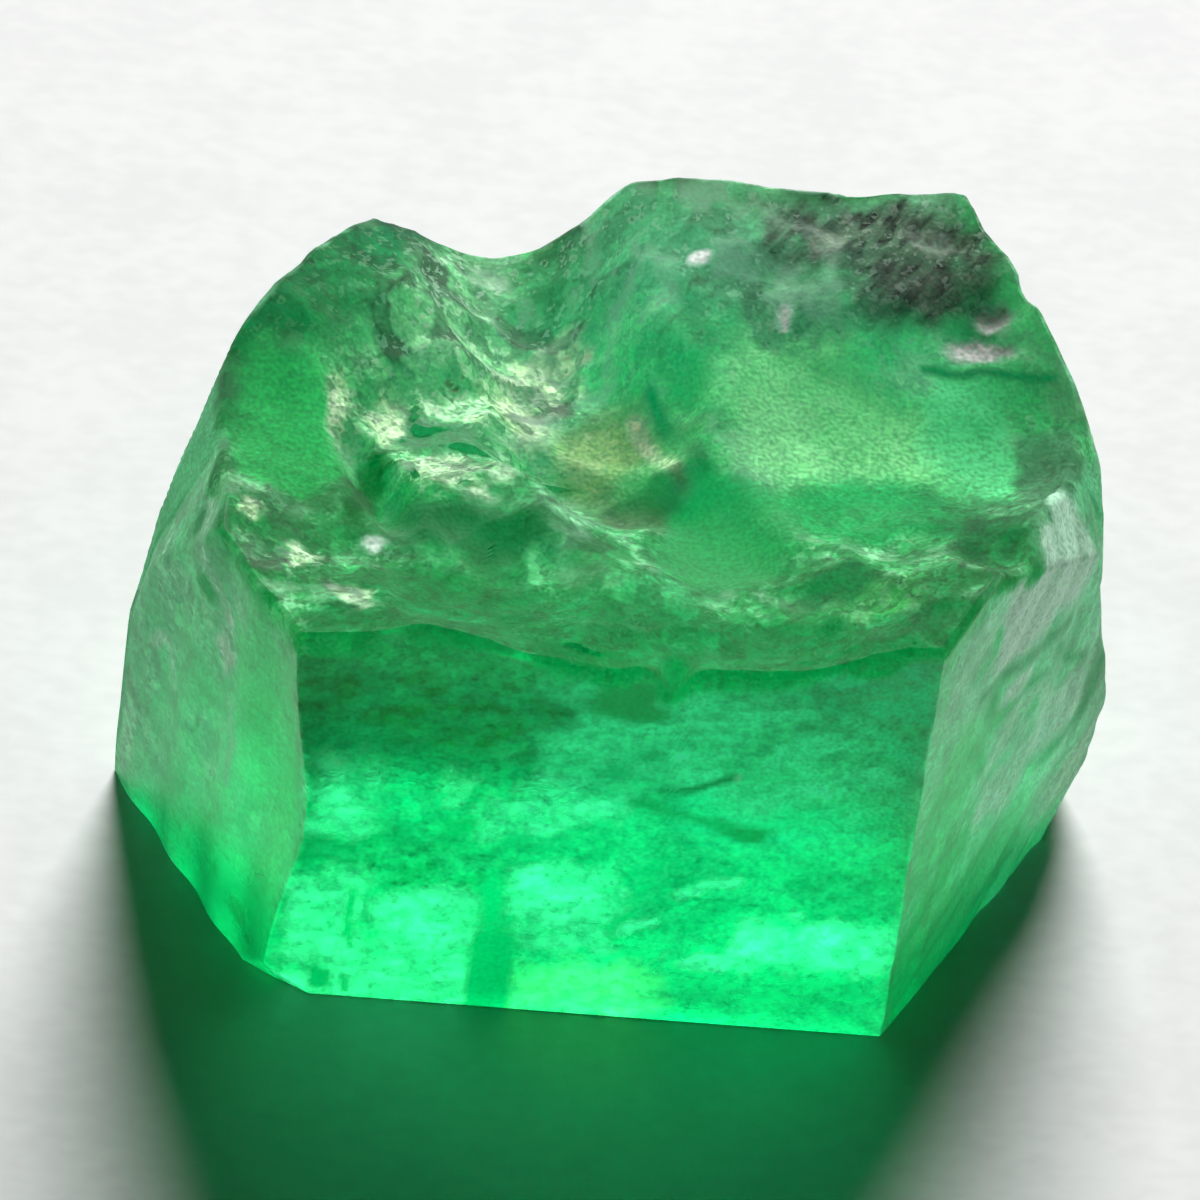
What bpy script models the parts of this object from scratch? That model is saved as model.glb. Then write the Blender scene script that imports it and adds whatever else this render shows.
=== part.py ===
"""A raw emerald crystal: one six-sided beryl prism, broken across the top and resting on a flat break.

The crystal stands on the XY plane with its prism axis up. It is worked in millimetres and turned into
metres at the end. A block is cut to the six prism faces and to a few corner chips. The top is broken away
along an uneven fracture of shell-like hollows. Then the faces get their growth ribs, swells and dents.
"""

import math

import bmesh
import bpy
import numpy as np
from mathutils import Matrix, Vector

MM = 0.001
NODE = "emerald_crystal"

# ---- Driving dimensions, in millimetres and degrees ----

# Each prism face by its outward direction, anticlockwise from +X, and its distance from the middle.
PRISM_FACES = {
    "front": (270.0, 3.99),
    "front_right": (330.0, 5.07),
    "back_right": (30.0, 5.31),
    "back": (90.0, 3.99),
    "back_left": (150.0, 4.96),
    "front_left": (210.0, 5.55),
}

# Flat chips off the corners: outward direction, tilt above the horizon, and a point on the chip.
CHIPS = {
    "left_corner": (177.0, 10.0, (-5.75, -0.4, 4.16)),
    "left_bite": (178.0, 20.0, (-5.9, -0.45, 3.85)),
    "right_foot": (350.0, -24.0, (5.93, 0.1, 0.62)),
    "right_shoulder": (4.0, 6.0, (5.97, 0.25, 2.7)),
    "right_tip": (352.0, 27.0, (5.66, 0.2, 5.0)),
    "front_left_foot": (242.0, -28.0, (-4.02, -3.9, 0.3)),
    "back_left_foot": (124.0, -30.0, (-3.3, 3.9, 0.5)),
    "back_right_foot": (63.0, -22.0, (3.72, 3.92, 0.9)),
}

# Height of the broken rim at stations round the crystal: direction from the middle, height.
RIM = (
    (2.4, 5.8), (12.4, 5.84), (19.0, 6.5), (34.5, 6.72), (46.0, 6.7), (61.0, 6.74), (72.0, 6.7),
    (86.0, 6.7), (93.0, 6.5), (98.5, 6.22), (102.5, 5.82), (108.0, 5.4), (115.0, 5.08), (122.0, 5.16),
    (128.0, 5.34), (131.0, 5.52), (146.0, 6.16), (157.0, 6.36), (170.0, 6.42), (177.0, 6.08), (183.0, 6.0),
    (191.0, 6.24), (225.0, 6.52), (237.0, 6.82), (252.0, 6.5), (266.0, 6.3), (296.0, 6.58), (311.0, 7.16),
    (328.0, 7.32), (340.0, 7.16), (351.0, 6.7),
)  # fmt: skip
MIDDLE_HEIGHT = 6.2
RIM_CALM = 0.65  # the share of the small roughness that the rim loses

# Shell-like hollows in the fracture: centre, floor height, how far along and across its own direction it
# takes to rise by one millimetre, and that direction.
HOLLOWS = {
    "saddle": ((-1.5, 2.7), 4.98, 4.6, 1.25, 109.0),
    "spot_pocket": ((-0.4, 0.5), 5.3, 1.5, 1.2, 110.0),
    "crevice": ((-0.5, -0.25), 5.1, 1.9, 0.75, 154.0),
    "granular_bowl": ((-2.35, 0.95), 5.5, 2.3, 1.9, 35.0),
    "left_facet": ((-4.25, -0.2), 5.86, 3.4, 1.9, 150.0),
    "gash": ((-3.3, -0.75), 5.5, 1.5, 0.42, 108.0),
    "apron": ((-2.5, -2.2), 5.94, 3.6, 1.7, 170.0),
    "slab": ((0.45, -1.1), 5.5, 2.4, 1.45, 128.0),
    "front_scoop": ((1.0, -3.0), 6.16, 2.4, 1.8, 20.0),
    "rim_nick": ((0.42, -4.05), 5.48, 0.62, 0.3, 90.0),
    "right_bowl": ((2.75, 0.3), 5.62, 3.1, 2.35, 20.0),
    "bright_cup": ((4.25, 0.35), 5.66, 1.9, 1.35, 60.0),
    "right_ledge_cup": ((4.15, -1.75), 6.2, 1.7, 1.2, 130.0),
    "back_shelf": ((1.9, 2.9), 6.42, 3.2, 2.3, 10.0),
}

# Scalloped roughness of the fracture: cell size, depth and seed of each scale.
SCALLOPS = ((1.45, 0.24, 3.0), (0.62, 0.13, 11.0))
SCALLOP_MEAN = 0.42  # the height that leaves as much above it as below

# Roughening of the prism faces, in millimetres from the flat.
RIB_HEIGHT = 0.085
FLUTE_HEIGHT = 0.04
EDGE_HOLLOW = 0.3

# Swells and dents at the corners: direction from the middle, height, half-width in degrees, half-height,
# and how far out.
CORNER_SWELLS = (
    (1.5, 1.8, 14.0, 0.9, 0.15),
    (2.0, 4.2, 10.0, 0.6, -0.11),
    (118.0, 2.4, 15.0, 1.6, -0.12),
)

# Making of the solid
BLOCK_TOP = 9.0
SHEET_CELLS = (200, 150)
VOXEL = 0.09
TRIANGLES = 9200
FOOT_TRIM = 0.03


def heading(degrees):
    """The level unit vector that points in a direction, anticlockwise from +X."""
    return Vector((math.cos(math.radians(degrees)), math.sin(math.radians(degrees)), 0.0))


def hashed(column, row, seed):
    """A repeatable number from 0 to 1 for each cell of a lattice."""
    mixed = np.sin(column * 127.1 + row * 311.7 + seed * 74.7) * 43758.5453
    return mixed - np.floor(mixed)


def scallops(x, y, cell, seed):
    """Small bowls that meet in sharp ridges, from about 0 to 1: the lowest bowl round jittered points."""
    column, row = np.floor(x / cell), np.floor(y / cell)
    lowest = np.full(np.shape(x), np.inf)
    for i in (-1, 0, 1):
        for j in (-1, 0, 1):
            c, r = column + i, row + j
            across = x / cell - c - hashed(c, r, seed)
            along = y / cell - r - hashed(c, r, seed + 1.0)
            tilt = 2.0 * hashed(c, r, seed + 2.0) - 1.0
            lean = 2.0 * hashed(c, r, seed + 3.0) - 1.0
            floor = 0.5 * hashed(c, r, seed + 4.0)
            bowl = floor + across**2 + along**2 + 0.35 * (tilt * across + lean * along)
            lowest = np.minimum(lowest, bowl)
    return lowest


def face_relief(name, along, up):
    """How far a prism face stands out from the flat, at a place along it and a height."""
    bend = 0.25 * np.sin(1.1 * along + 0.9) + 0.35 * np.sin(0.8 * up + 0.4)
    if name == "front_right":
        slant = up - 0.95 * along + 1.6 * bend
        ribs = np.abs(np.sin(2.1 * slant)) + 0.5 * np.abs(np.sin(4.7 * slant + along)) - 0.9
        return RIB_HEIGHT * ribs * np.clip(0.5 * (along + 2.6), 0.0, 1.0)
    if name == "front_left":
        hollow = np.exp(-(((along - 1.6) / 1.1) ** 2) - ((up - 3.3) / 1.9) ** 2)
        return FLUTE_HEIGHT * np.sin(5.2 * along + 2.0 * bend) - EDGE_HOLLOW * hollow
    if name == "front":
        return 0.25 * FLUTE_HEIGHT * np.sin(2.6 * up + bend)
    steps = np.abs(np.sin(1.3 * along + 2.4 * bend)) + 0.4 * np.abs(np.sin(3.9 * along - up + bend))
    return FLUTE_HEIGHT * (steps - 0.7) + 0.5 * FLUTE_HEIGHT * np.sin(1.9 * up + bend)


def corner_swell(angle, up):
    """How far the crystal stands out past its faces in a direction, at a height."""
    out = np.zeros(np.shape(angle))
    for direction, height, half_width, half_height, depth in CORNER_SWELLS:
        away = np.degrees(np.arccos(np.clip(np.cos(angle - math.radians(direction)), -1.0, 1.0)))
        out += depth * np.exp(-((away / half_width) ** 2) - ((up - height) / half_height) ** 2)
    return out


def face_reach(angle, up=None):
    """Distance from the middle to the prism's faces in a direction: flat, or with their relief at a height."""
    reach = np.full(np.shape(angle), np.inf)
    for name, (direction, distance) in PRISM_FACES.items():
        turn = angle - math.radians(direction)
        facing = np.maximum(np.cos(turn), 0.2)
        along = distance * np.sin(turn) / facing
        relief = 0.0 if up is None else face_relief(name, along, up)
        reach = np.minimum(reach, (distance + relief) / facing)
    return reach if up is None else reach + corner_swell(angle, up)


def fracture_height(x, y):
    """Height of the broken top over a point: the rim's height carried inwards, less the hollows."""
    angle = np.arctan2(y, x)
    share = np.clip(np.hypot(x, y) / face_reach(angle), 0.0, 1.2)
    stations, heights = zip(*RIM)
    rim = np.interp(np.degrees(angle), stations, heights, period=360.0)
    height = MIDDLE_HEIGHT + (rim - MIDDLE_HEIGHT) * share**2
    for (cx, cy), floor, length, width, direction in HOLLOWS.values():
        turn = math.radians(direction)
        along = (x - cx) * math.cos(turn) + (y - cy) * math.sin(turn)
        across = (y - cy) * math.cos(turn) - (x - cx) * math.sin(turn)
        height = np.minimum(height, floor + (along / length) ** 2 + (across / width) ** 2)
    calm = 1.0 - RIM_CALM * np.minimum(share, 1.0) ** 6
    for cell, depth, seed in SCALLOPS:
        height = height + calm * depth * (scallops(x, y, cell, seed) - SCALLOP_MEAN)
    return height


def roughen_faces(points):
    """Moves points out or in along the level, most at the prism faces, to where the relief puts the face."""
    angle = np.arctan2(points[:, 1], points[:, 0])
    flat = face_reach(angle)
    share = np.hypot(points[:, 0], points[:, 1]) / flat
    growth = face_reach(angle, points[:, 2]) / flat - 1.0
    moved = points.copy()
    moved[:, :2] *= (1.0 + growth * share**4)[:, None]
    return moved


def block():
    """A closed block, larger than the crystal, that stands on the XY plane."""
    bm = bmesh.new()
    bmesh.ops.create_cube(bm, size=2.0 * BLOCK_TOP)
    bmesh.ops.translate(bm, verts=bm.verts, vec=(0.0, 0.0, BLOCK_TOP))
    return bm


def cut_away(bm, point, outward):
    """Cuts off what lies on the outer side of a plane and closes the cut with one flat face."""
    everything = bm.verts[:] + bm.edges[:] + bm.faces[:]
    cut = bmesh.ops.bisect_plane(bm, geom=everything, plane_co=point, plane_no=outward, clear_outer=True)
    rim = [item for item in cut["geom_cut"] if isinstance(item, bmesh.types.BMEdge)]
    bmesh.ops.contextual_create(bm, geom=rim)


def cut_prism():
    """The block cut to the six prism faces and the corner chips."""
    bm = block()
    for direction, distance in PRISM_FACES.values():
        out = heading(direction)
        cut_away(bm, out * distance, out)
    for direction, tilt, point in CHIPS.values():
        out = heading(direction) * math.cos(math.radians(tilt))
        out.z = math.sin(math.radians(tilt))
        cut_away(bm, Vector(point), out)
    bmesh.ops.recalc_face_normals(bm, faces=bm.faces)
    return new_object("prism", bm)


def fracture_cutter():
    """Everything above the broken top, as one closed solid."""
    bm = bmesh.new()
    columns, rows = SHEET_CELLS
    bmesh.ops.create_grid(bm, x_segments=columns, y_segments=rows, size=1.0)
    half_width, half_depth = 7.0, 5.0
    flat = np.array([vert.co for vert in bm.verts]) * (half_width, half_depth, 0.0)
    flat[:, 2] = fracture_height(flat[:, 0], flat[:, 1])
    for vert, place in zip(bm.verts, flat):
        vert.co = place
    raised = bmesh.ops.extrude_face_region(bm, geom=bm.faces[:])
    for item in raised["geom"]:
        if isinstance(item, bmesh.types.BMVert):
            item.co.z = 3.0 * BLOCK_TOP
    bmesh.ops.recalc_face_normals(bm, faces=bm.faces)
    cutter = new_object("fracture_cutter", bm, "cutters")
    cutter.hide_render = True
    cutter.display_type = "WIRE"
    return cutter


def new_object(name, bm, collection="raw_emerald"):
    """Puts a bmesh in the scene as an object, in a named collection."""
    mesh = bpy.data.meshes.new(name)
    bm.to_mesh(mesh)
    bm.free()
    obj = bpy.data.objects.new(name, mesh)
    home = bpy.data.collections.get(collection)
    if home is None:
        home = bpy.data.collections.new(collection)
        bpy.context.scene.collection.children.link(home)
    home.objects.link(obj)
    return obj


def settle(obj):
    """Applies an object's modifiers: its mesh becomes what they make of it."""
    graph = bpy.context.evaluated_depsgraph_get()
    made = bpy.data.meshes.new_from_object(obj.evaluated_get(graph))
    obj.modifiers.clear()
    old = obj.data
    obj.data = made
    bpy.data.meshes.remove(old)


def break_top(crystal, cutter):
    """Takes the broken part off the prism and gives the crystal an even mesh."""
    cut = crystal.modifiers.new("break", "BOOLEAN")
    cut.operation = "DIFFERENCE"
    cut.solver = "EXACT"
    cut.object = cutter
    settle(crystal)
    even = crystal.modifiers.new("even", "REMESH")
    even.mode = "VOXEL"
    even.voxel_size = VOXEL
    settle(crystal)


def roughen(crystal):
    """Gives the crystal's prism faces their ribs, flutes and hollows."""
    points = np.empty(len(crystal.data.vertices) * 3)
    crystal.data.vertices.foreach_get("co", points)
    points = roughen_faces(points.reshape(-1, 3))
    crystal.data.vertices.foreach_set("co", points.ravel())
    crystal.data.update()


def thin_out(crystal):
    """Keeps the triangles that the shape needs."""
    crystal.data.calc_loop_triangles()
    fewer = crystal.modifiers.new("fewer", "DECIMATE")
    fewer.ratio = TRIANGLES / len(crystal.data.loop_triangles)
    settle(crystal)


def flatten_foot(crystal):
    """Trims the underside to one flat face, puts its middle at the origin and turns millimetres to metres."""
    bm = bmesh.new()
    bm.from_mesh(crystal.data)
    cut_away(bm, Vector((0.0, 0.0, FOOT_TRIM)), Vector((0.0, 0.0, -1.0)))
    points = np.array([vert.co for vert in bm.verts])
    middle = (points.min(axis=0) + points.max(axis=0)) / 2.0
    bmesh.ops.translate(bm, verts=bm.verts, vec=(-middle[0], -middle[1], -FOOT_TRIM))
    bmesh.ops.triangulate(bm, faces=bm.faces)
    bmesh.ops.recalc_face_normals(bm, faces=bm.faces)
    bm.transform(Matrix.Scale(MM, 4))
    bm.to_mesh(crystal.data)
    bm.free()


def emerald_material():
    """Clear green beryl, a little frosted."""
    material = bpy.data.materials.new("emerald")
    material.use_nodes = True
    shader = material.node_tree.nodes["Principled BSDF"]
    shader.inputs["Base Color"].default_value = (0.04, 0.45, 0.16, 1.0)
    shader.inputs["Roughness"].default_value = 0.35
    shader.inputs["Metallic"].default_value = 0.0
    shader.inputs["IOR"].default_value = 1.58
    shader.inputs["Transmission Weight"].default_value = 0.6
    return material


def main():
    """Clears the scene and makes the crystal."""
    for obj in list(bpy.data.objects):
        bpy.data.objects.remove(obj)
    crystal = cut_prism()
    crystal.name = NODE
    break_top(crystal, fracture_cutter())
    roughen(crystal)
    thin_out(crystal)
    flatten_foot(crystal)
    crystal.data.name = NODE
    crystal.data.materials.clear()
    crystal.data.materials.append(emerald_material())


main()
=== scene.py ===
"""Finish of a raw emerald crystal: its clear and frosted skin, the light on it and the table under it.

The crystal is one closed surface, worked out on a grid that runs round the stone and from the middle of
its underside, up its walls, to the middle of its broken top. The same named sizes as in the construction
script give its form. Here they get finer detail: growth ribs, grains and small shell-like breaks.
"""

import logging
import math
from collections.abc import Iterator
from dataclasses import dataclass, field
from enum import Enum
from typing import ClassVar

import bpy
import numpy as np
from mathutils import Matrix, Vector


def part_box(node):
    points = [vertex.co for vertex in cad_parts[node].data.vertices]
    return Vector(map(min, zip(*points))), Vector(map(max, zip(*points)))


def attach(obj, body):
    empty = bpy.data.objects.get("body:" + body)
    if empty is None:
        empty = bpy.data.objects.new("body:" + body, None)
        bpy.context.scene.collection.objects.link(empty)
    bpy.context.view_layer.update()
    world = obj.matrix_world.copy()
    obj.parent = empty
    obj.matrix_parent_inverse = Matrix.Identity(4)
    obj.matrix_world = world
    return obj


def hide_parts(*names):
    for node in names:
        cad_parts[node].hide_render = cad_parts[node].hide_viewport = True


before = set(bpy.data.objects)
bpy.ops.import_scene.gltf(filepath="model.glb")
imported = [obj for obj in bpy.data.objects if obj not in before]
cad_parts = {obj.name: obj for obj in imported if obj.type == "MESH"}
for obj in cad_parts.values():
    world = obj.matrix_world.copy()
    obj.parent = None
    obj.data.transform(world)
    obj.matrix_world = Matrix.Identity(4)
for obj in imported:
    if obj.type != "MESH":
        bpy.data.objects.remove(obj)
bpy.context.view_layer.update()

MM = 0.001
NODE = "emerald_crystal"
LOG = logging.getLogger("raw_emerald")

Array = np.ndarray
Colour = tuple[float, float, float]
Pair = tuple[float, float]
Triple = tuple[float, float, float]


class Face(Enum):
    """The faces of the six-sided prism."""

    FRONT = "front"
    FRONT_RIGHT = "front right"
    BACK_RIGHT = "back right"
    BACK = "back"
    BACK_LEFT = "back left"
    FRONT_LEFT = "front left"


# ---------------------------------------------------------------- small mathematics


HASH_STEPS = (127.1, 311.7, 74.7)
HASH_SCALE = 43758.5453


def hashed(column: Array, row: Array, seed: float) -> Array:
    """A repeatable number from 0 to 1 for each cell of a lattice.

    Args:
        column, row: whole numbers that name the cell.
        seed: another number gives another pattern.

    Returns:
        The fraction of a large multiple of a sine of the cell's numbers.
    """
    column_step, row_step, seed_step = HASH_STEPS
    mixed = np.sin(column * column_step + row * row_step + seed * seed_step) * HASH_SCALE
    return mixed - np.floor(mixed)


@dataclass(frozen=True)
class Nearby:
    """One of the nine lattice cells round each place, with its jittered point.

    Holds the distances across and along to the point and the height there of a tilted plane through it, in
    cells, and two numbers of the cell from 0 to 1: its floor and its shade.
    """

    across: Array
    along: Array
    slope: Array
    floor: Array
    shade: Array


def nearby_cells(x: Array, y: Array, cell: float, seed: float) -> Iterator[Nearby]:
    """Goes through the nine lattice cells round each place.

    Args:
        x, y: places, in the unit of the cell.
        cell: width of a lattice cell.
        seed: another number gives another pattern.

    Returns:
        The cells one by one, each for all places at once.
    """
    column, row = np.floor(x / cell), np.floor(y / cell)
    for i in (-1, 0, 1):
        for j in (-1, 0, 1):
            c, r = column + i, row + j
            across = x / cell - c - hashed(c, r, seed)
            along = y / cell - r - hashed(c, r, seed + 1.0)
            tilt = 2.0 * hashed(c, r, seed + 2.0) - 1.0
            lean = 2.0 * hashed(c, r, seed + 3.0) - 1.0
            floor, shade = hashed(c, r, seed + 4.0), hashed(c, r, seed + 5.0)
            yield Nearby(across, along, tilt * across + lean * along, floor, shade)


def scallops(x: Array, y: Array, cell: float, seed: float) -> Array:
    """Small bowls that meet in sharp ridges: the lowest of the bowls nearby, from about 0 to 1.

    Args:
        x, y: places, in the unit of the cell.
        cell: width of a lattice cell.
        seed: another number gives another pattern.

    Returns:
        The height at each place, as a share of the cell.
    """
    lowest = np.full(np.shape(x), np.inf)
    for near in nearby_cells(x, y, cell, seed):
        bowl = 0.5 * near.floor + near.across**2 + near.along**2 + 0.35 * near.slope
        lowest = np.minimum(lowest, bowl)
    return lowest


def facets(x: Array, y: Array, cell: float, seed: float) -> tuple[Array, Array, Array]:
    """Small, slightly bowed breaks that meet in sharp angles: the lowest of the planes nearby.

    Args:
        x, y: places, in the unit of the cell.
        cell: width of a lattice cell.
        seed: another number gives another pattern.

    Returns:
        The height at each place, as a share of the cell and about 0 on average, the shade from 0 to 1 of the
        break it lies on, and how far the next break is above it, which is 0 at a seam.
    """
    lowest = np.full(np.shape(x), np.inf)
    second = np.full(np.shape(x), np.inf)
    shade = np.zeros(np.shape(x))
    for near in nearby_cells(x, y, cell, seed):
        plane = 0.6 * near.floor + 0.9 * near.slope
        plane = plane + 0.45 * (near.across**2 + near.along**2)
        shade = np.where(plane < lowest, near.shade, shade)
        second = np.minimum(second, np.maximum(plane, lowest))
        lowest = np.minimum(lowest, plane)
    return lowest - 0.2, shade, second - lowest


def value_noise(x: Array, y: Array, cell: float, seed: float) -> Array:
    """Soft blotches from 0 to 1: the numbers of a lattice, eased from cell to cell.

    Args:
        x, y: places, in the unit of the cell.
        cell: width of a lattice cell.
        seed: another number gives another pattern.

    Returns:
        The four surrounding numbers, mixed by a smooth step along each side.
    """
    u, v = x / cell, y / cell
    c, r = np.floor(u), np.floor(v)
    s, t = u - c, v - r
    s, t = s * s * (3.0 - 2.0 * s), t * t * (3.0 - 2.0 * t)
    low = hashed(c, r, seed) * (1.0 - s) + hashed(c + 1.0, r, seed) * s
    high = hashed(c, r + 1.0, seed) * (1.0 - s) + hashed(c + 1.0, r + 1.0, seed) * s
    return low * (1.0 - t) + high * t


def cloudy(x: Array, y: Array, cell: float, seed: float) -> Array:
    """Blotches with finer blotches on them: three value noises, each half as wide and strong.

    Args:
        x, y: places, in the unit of the cell.
        cell: width of the widest blotches.
        seed: another number gives another pattern.

    Returns:
        A number from 0 to 1 for each place.
    """
    total = np.zeros(np.shape(x))
    for octave in range(3):
        total = total + value_noise(x, y, cell / 2**octave, seed + 5.0 * octave) / 2**octave
    return total / 1.75


def smooth_step(low: float, high: float, value: Array) -> Array:
    """Eases from 0 at low to 1 at high."""
    share = np.clip((value - low) / (high - low), 0.0, 1.0)
    return share * share * (3.0 - 2.0 * share)


GRAIN_TWIST = 0.03


def twisted(x: Array, y: Array) -> tuple[Array, Array]:
    """Places moved by a slight wave, so that the seams between grains aren't straight."""
    shift = GRAIN_TWIST * np.sin(5.0 * x + 3.0 * y)
    return x + shift, y - shift


def turned(u: Array, v: Array, centre: Pair, degrees: float) -> tuple[Array, Array]:
    """Distances from a centre along a direction and across it.

    Args:
        u, v: places.
        centre: the place that the distances start from.
        degrees: the direction, anticlockwise from u.

    Returns:
        The distance along the direction and the distance to the left of it.
    """
    turn = math.radians(degrees)
    right, up = u - centre[0], v - centre[1]
    return right * math.cos(turn) + up * math.sin(turn), up * math.cos(turn) - right * math.sin(turn)


# ---------------------------------------------------------------- shapes of patches, streaks and cracks


@dataclass(frozen=True)
class Oval:
    """A soft-edged, blotchy oval: centre, half sizes, turn in degrees, softness and blotchiness of its edge.

    On top its centre is x and y in mm. On a wall it is the distance along the face and the height. A square
    of 2 gives an oval, and more gives it corners.
    """

    centre: Pair
    half: Pair
    turn: float = 0.0
    soft: float = 0.35
    wobble: float = 0.5
    strength: float = 1.0
    square: float = 2.0
    least_cell: ClassVar[float] = 0.15

    def mask(self, u: Array, v: Array) -> Array:
        """How strongly each place belongs to the oval.

        Args:
            u, v: the places in mm.

        Returns:
            The oval's strength inside, easing to 0 past its edge.
        """
        along, across = turned(u, v, self.centre, self.turn)
        away = np.abs(along / self.half[0]) ** self.square + np.abs(across / self.half[1]) ** self.square
        away = away ** (1.0 / self.square)
        cell = max(0.8 * min(self.half), self.least_cell)
        away = away + self.wobble * (2.0 * cloudy(u, v, cell, self.centre[0] + 3.0 * self.centre[1]) - 1.0)
        return self.strength * (1.0 - smooth_step(1.0 - self.soft, 1.0 + self.soft, away))


@dataclass(frozen=True)
class Streaks:
    """Long narrow blotches: their length and width in mm, their turn, and the share of them that shows."""

    length: float
    width: float
    turn: float = 0.0
    low: float = 0.45
    high: float = 0.6
    bend: float = 0.0
    seed: float = 1.0
    strength: float = 1.0

    def mask(self, u: Array, v: Array) -> Array:
        """How strongly each place belongs to a streak, from a stretched and bent noise.

        Args:
            u, v: the places in mm.

        Returns:
            The streaks' strength on them, easing to 0 between them.
        """
        along, across = turned(u, v, (0.0, 0.0), self.turn)
        across = across + self.bend * np.sin(0.9 * along + self.seed) + 0.3 * self.bend * np.sin(2.3 * u + v)
        noise = cloudy(along / self.length, across / self.width, 1.0, self.seed)
        return self.strength * smooth_step(self.low, self.high, noise)


@dataclass(frozen=True)
class Crack:
    """A thin line through some points, with its half width in mm, for cracks, grooves and bright edges. The
    bright lines on the top are painted highlights, and those on the front are painted glow.
    """

    points: tuple[Pair, ...]
    half_width: float
    wander: float = 0.06
    strength: float = 1.0
    wander_cell: ClassVar[float] = 0.35

    def mask(self, u: Array, v: Array) -> Array:
        """How strongly each place belongs to the line, by its distance to the nearest straight part.

        Args:
            u, v: the places in mm.

        Returns:
            The line's strength on its middle, easing to 0 at twice its half width.
        """
        u = u + self.wander * (2.0 * cloudy(u, v, self.wander_cell, 71.0) - 1.0)
        v = v + self.wander * (2.0 * cloudy(u, v, self.wander_cell, 81.0) - 1.0)
        away = np.full(np.shape(u), np.inf)
        for (u0, v0), (u1, v1) in zip(self.points, self.points[1:]):
            reach = ((u - u0) * (u1 - u0) + (v - v0) * (v1 - v0)) / ((u1 - u0) ** 2 + (v1 - v0) ** 2)
            reach = np.clip(reach, 0.0, 1.0)
            away = np.minimum(away, np.hypot(u - u0 - reach * (u1 - u0), v - v0 - reach * (v1 - v0)))
        return self.strength * (1.0 - smooth_step(0.5, 2.0, away / self.half_width))


Shape = Oval | Streaks | Crack


# ---------------------------------------------------------------- the form of the stone


@dataclass(frozen=True)
class PrismFace:
    """A flat side of the prism: its outward direction in degrees and its distance from the middle in mm."""

    face: Face
    direction: float
    distance: float


@dataclass(frozen=True)
class Chip:
    """A flat chip off a corner: outward direction and tilt in degrees, and a point on it in mm."""

    direction: float
    tilt: float
    point: Triple


@dataclass(frozen=True)
class Hollow:
    """A shell-like hollow: centre, floor height, the reach along and across that rises 1 mm, and its turn."""

    centre: Pair
    floor: float
    length: float
    width: float
    turn: float

    def height(self, x: Array, y: Array) -> Array:
        """Height of the bowl.

        Args:
            x, y: the places in mm.

        Returns:
            Its floor plus the squares of the distances along and across, over its reach.
        """
        along, across = turned(x, y, self.centre, self.turn)
        return self.floor + (along / self.length) ** 2 + (across / self.width) ** 2


@dataclass(frozen=True)
class Swell:
    """A swell or dent of a corner: direction, height, half-width in degrees, half-height, how far out."""

    direction: float
    height: float
    half_width: float
    half_height: float
    out: float


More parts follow.
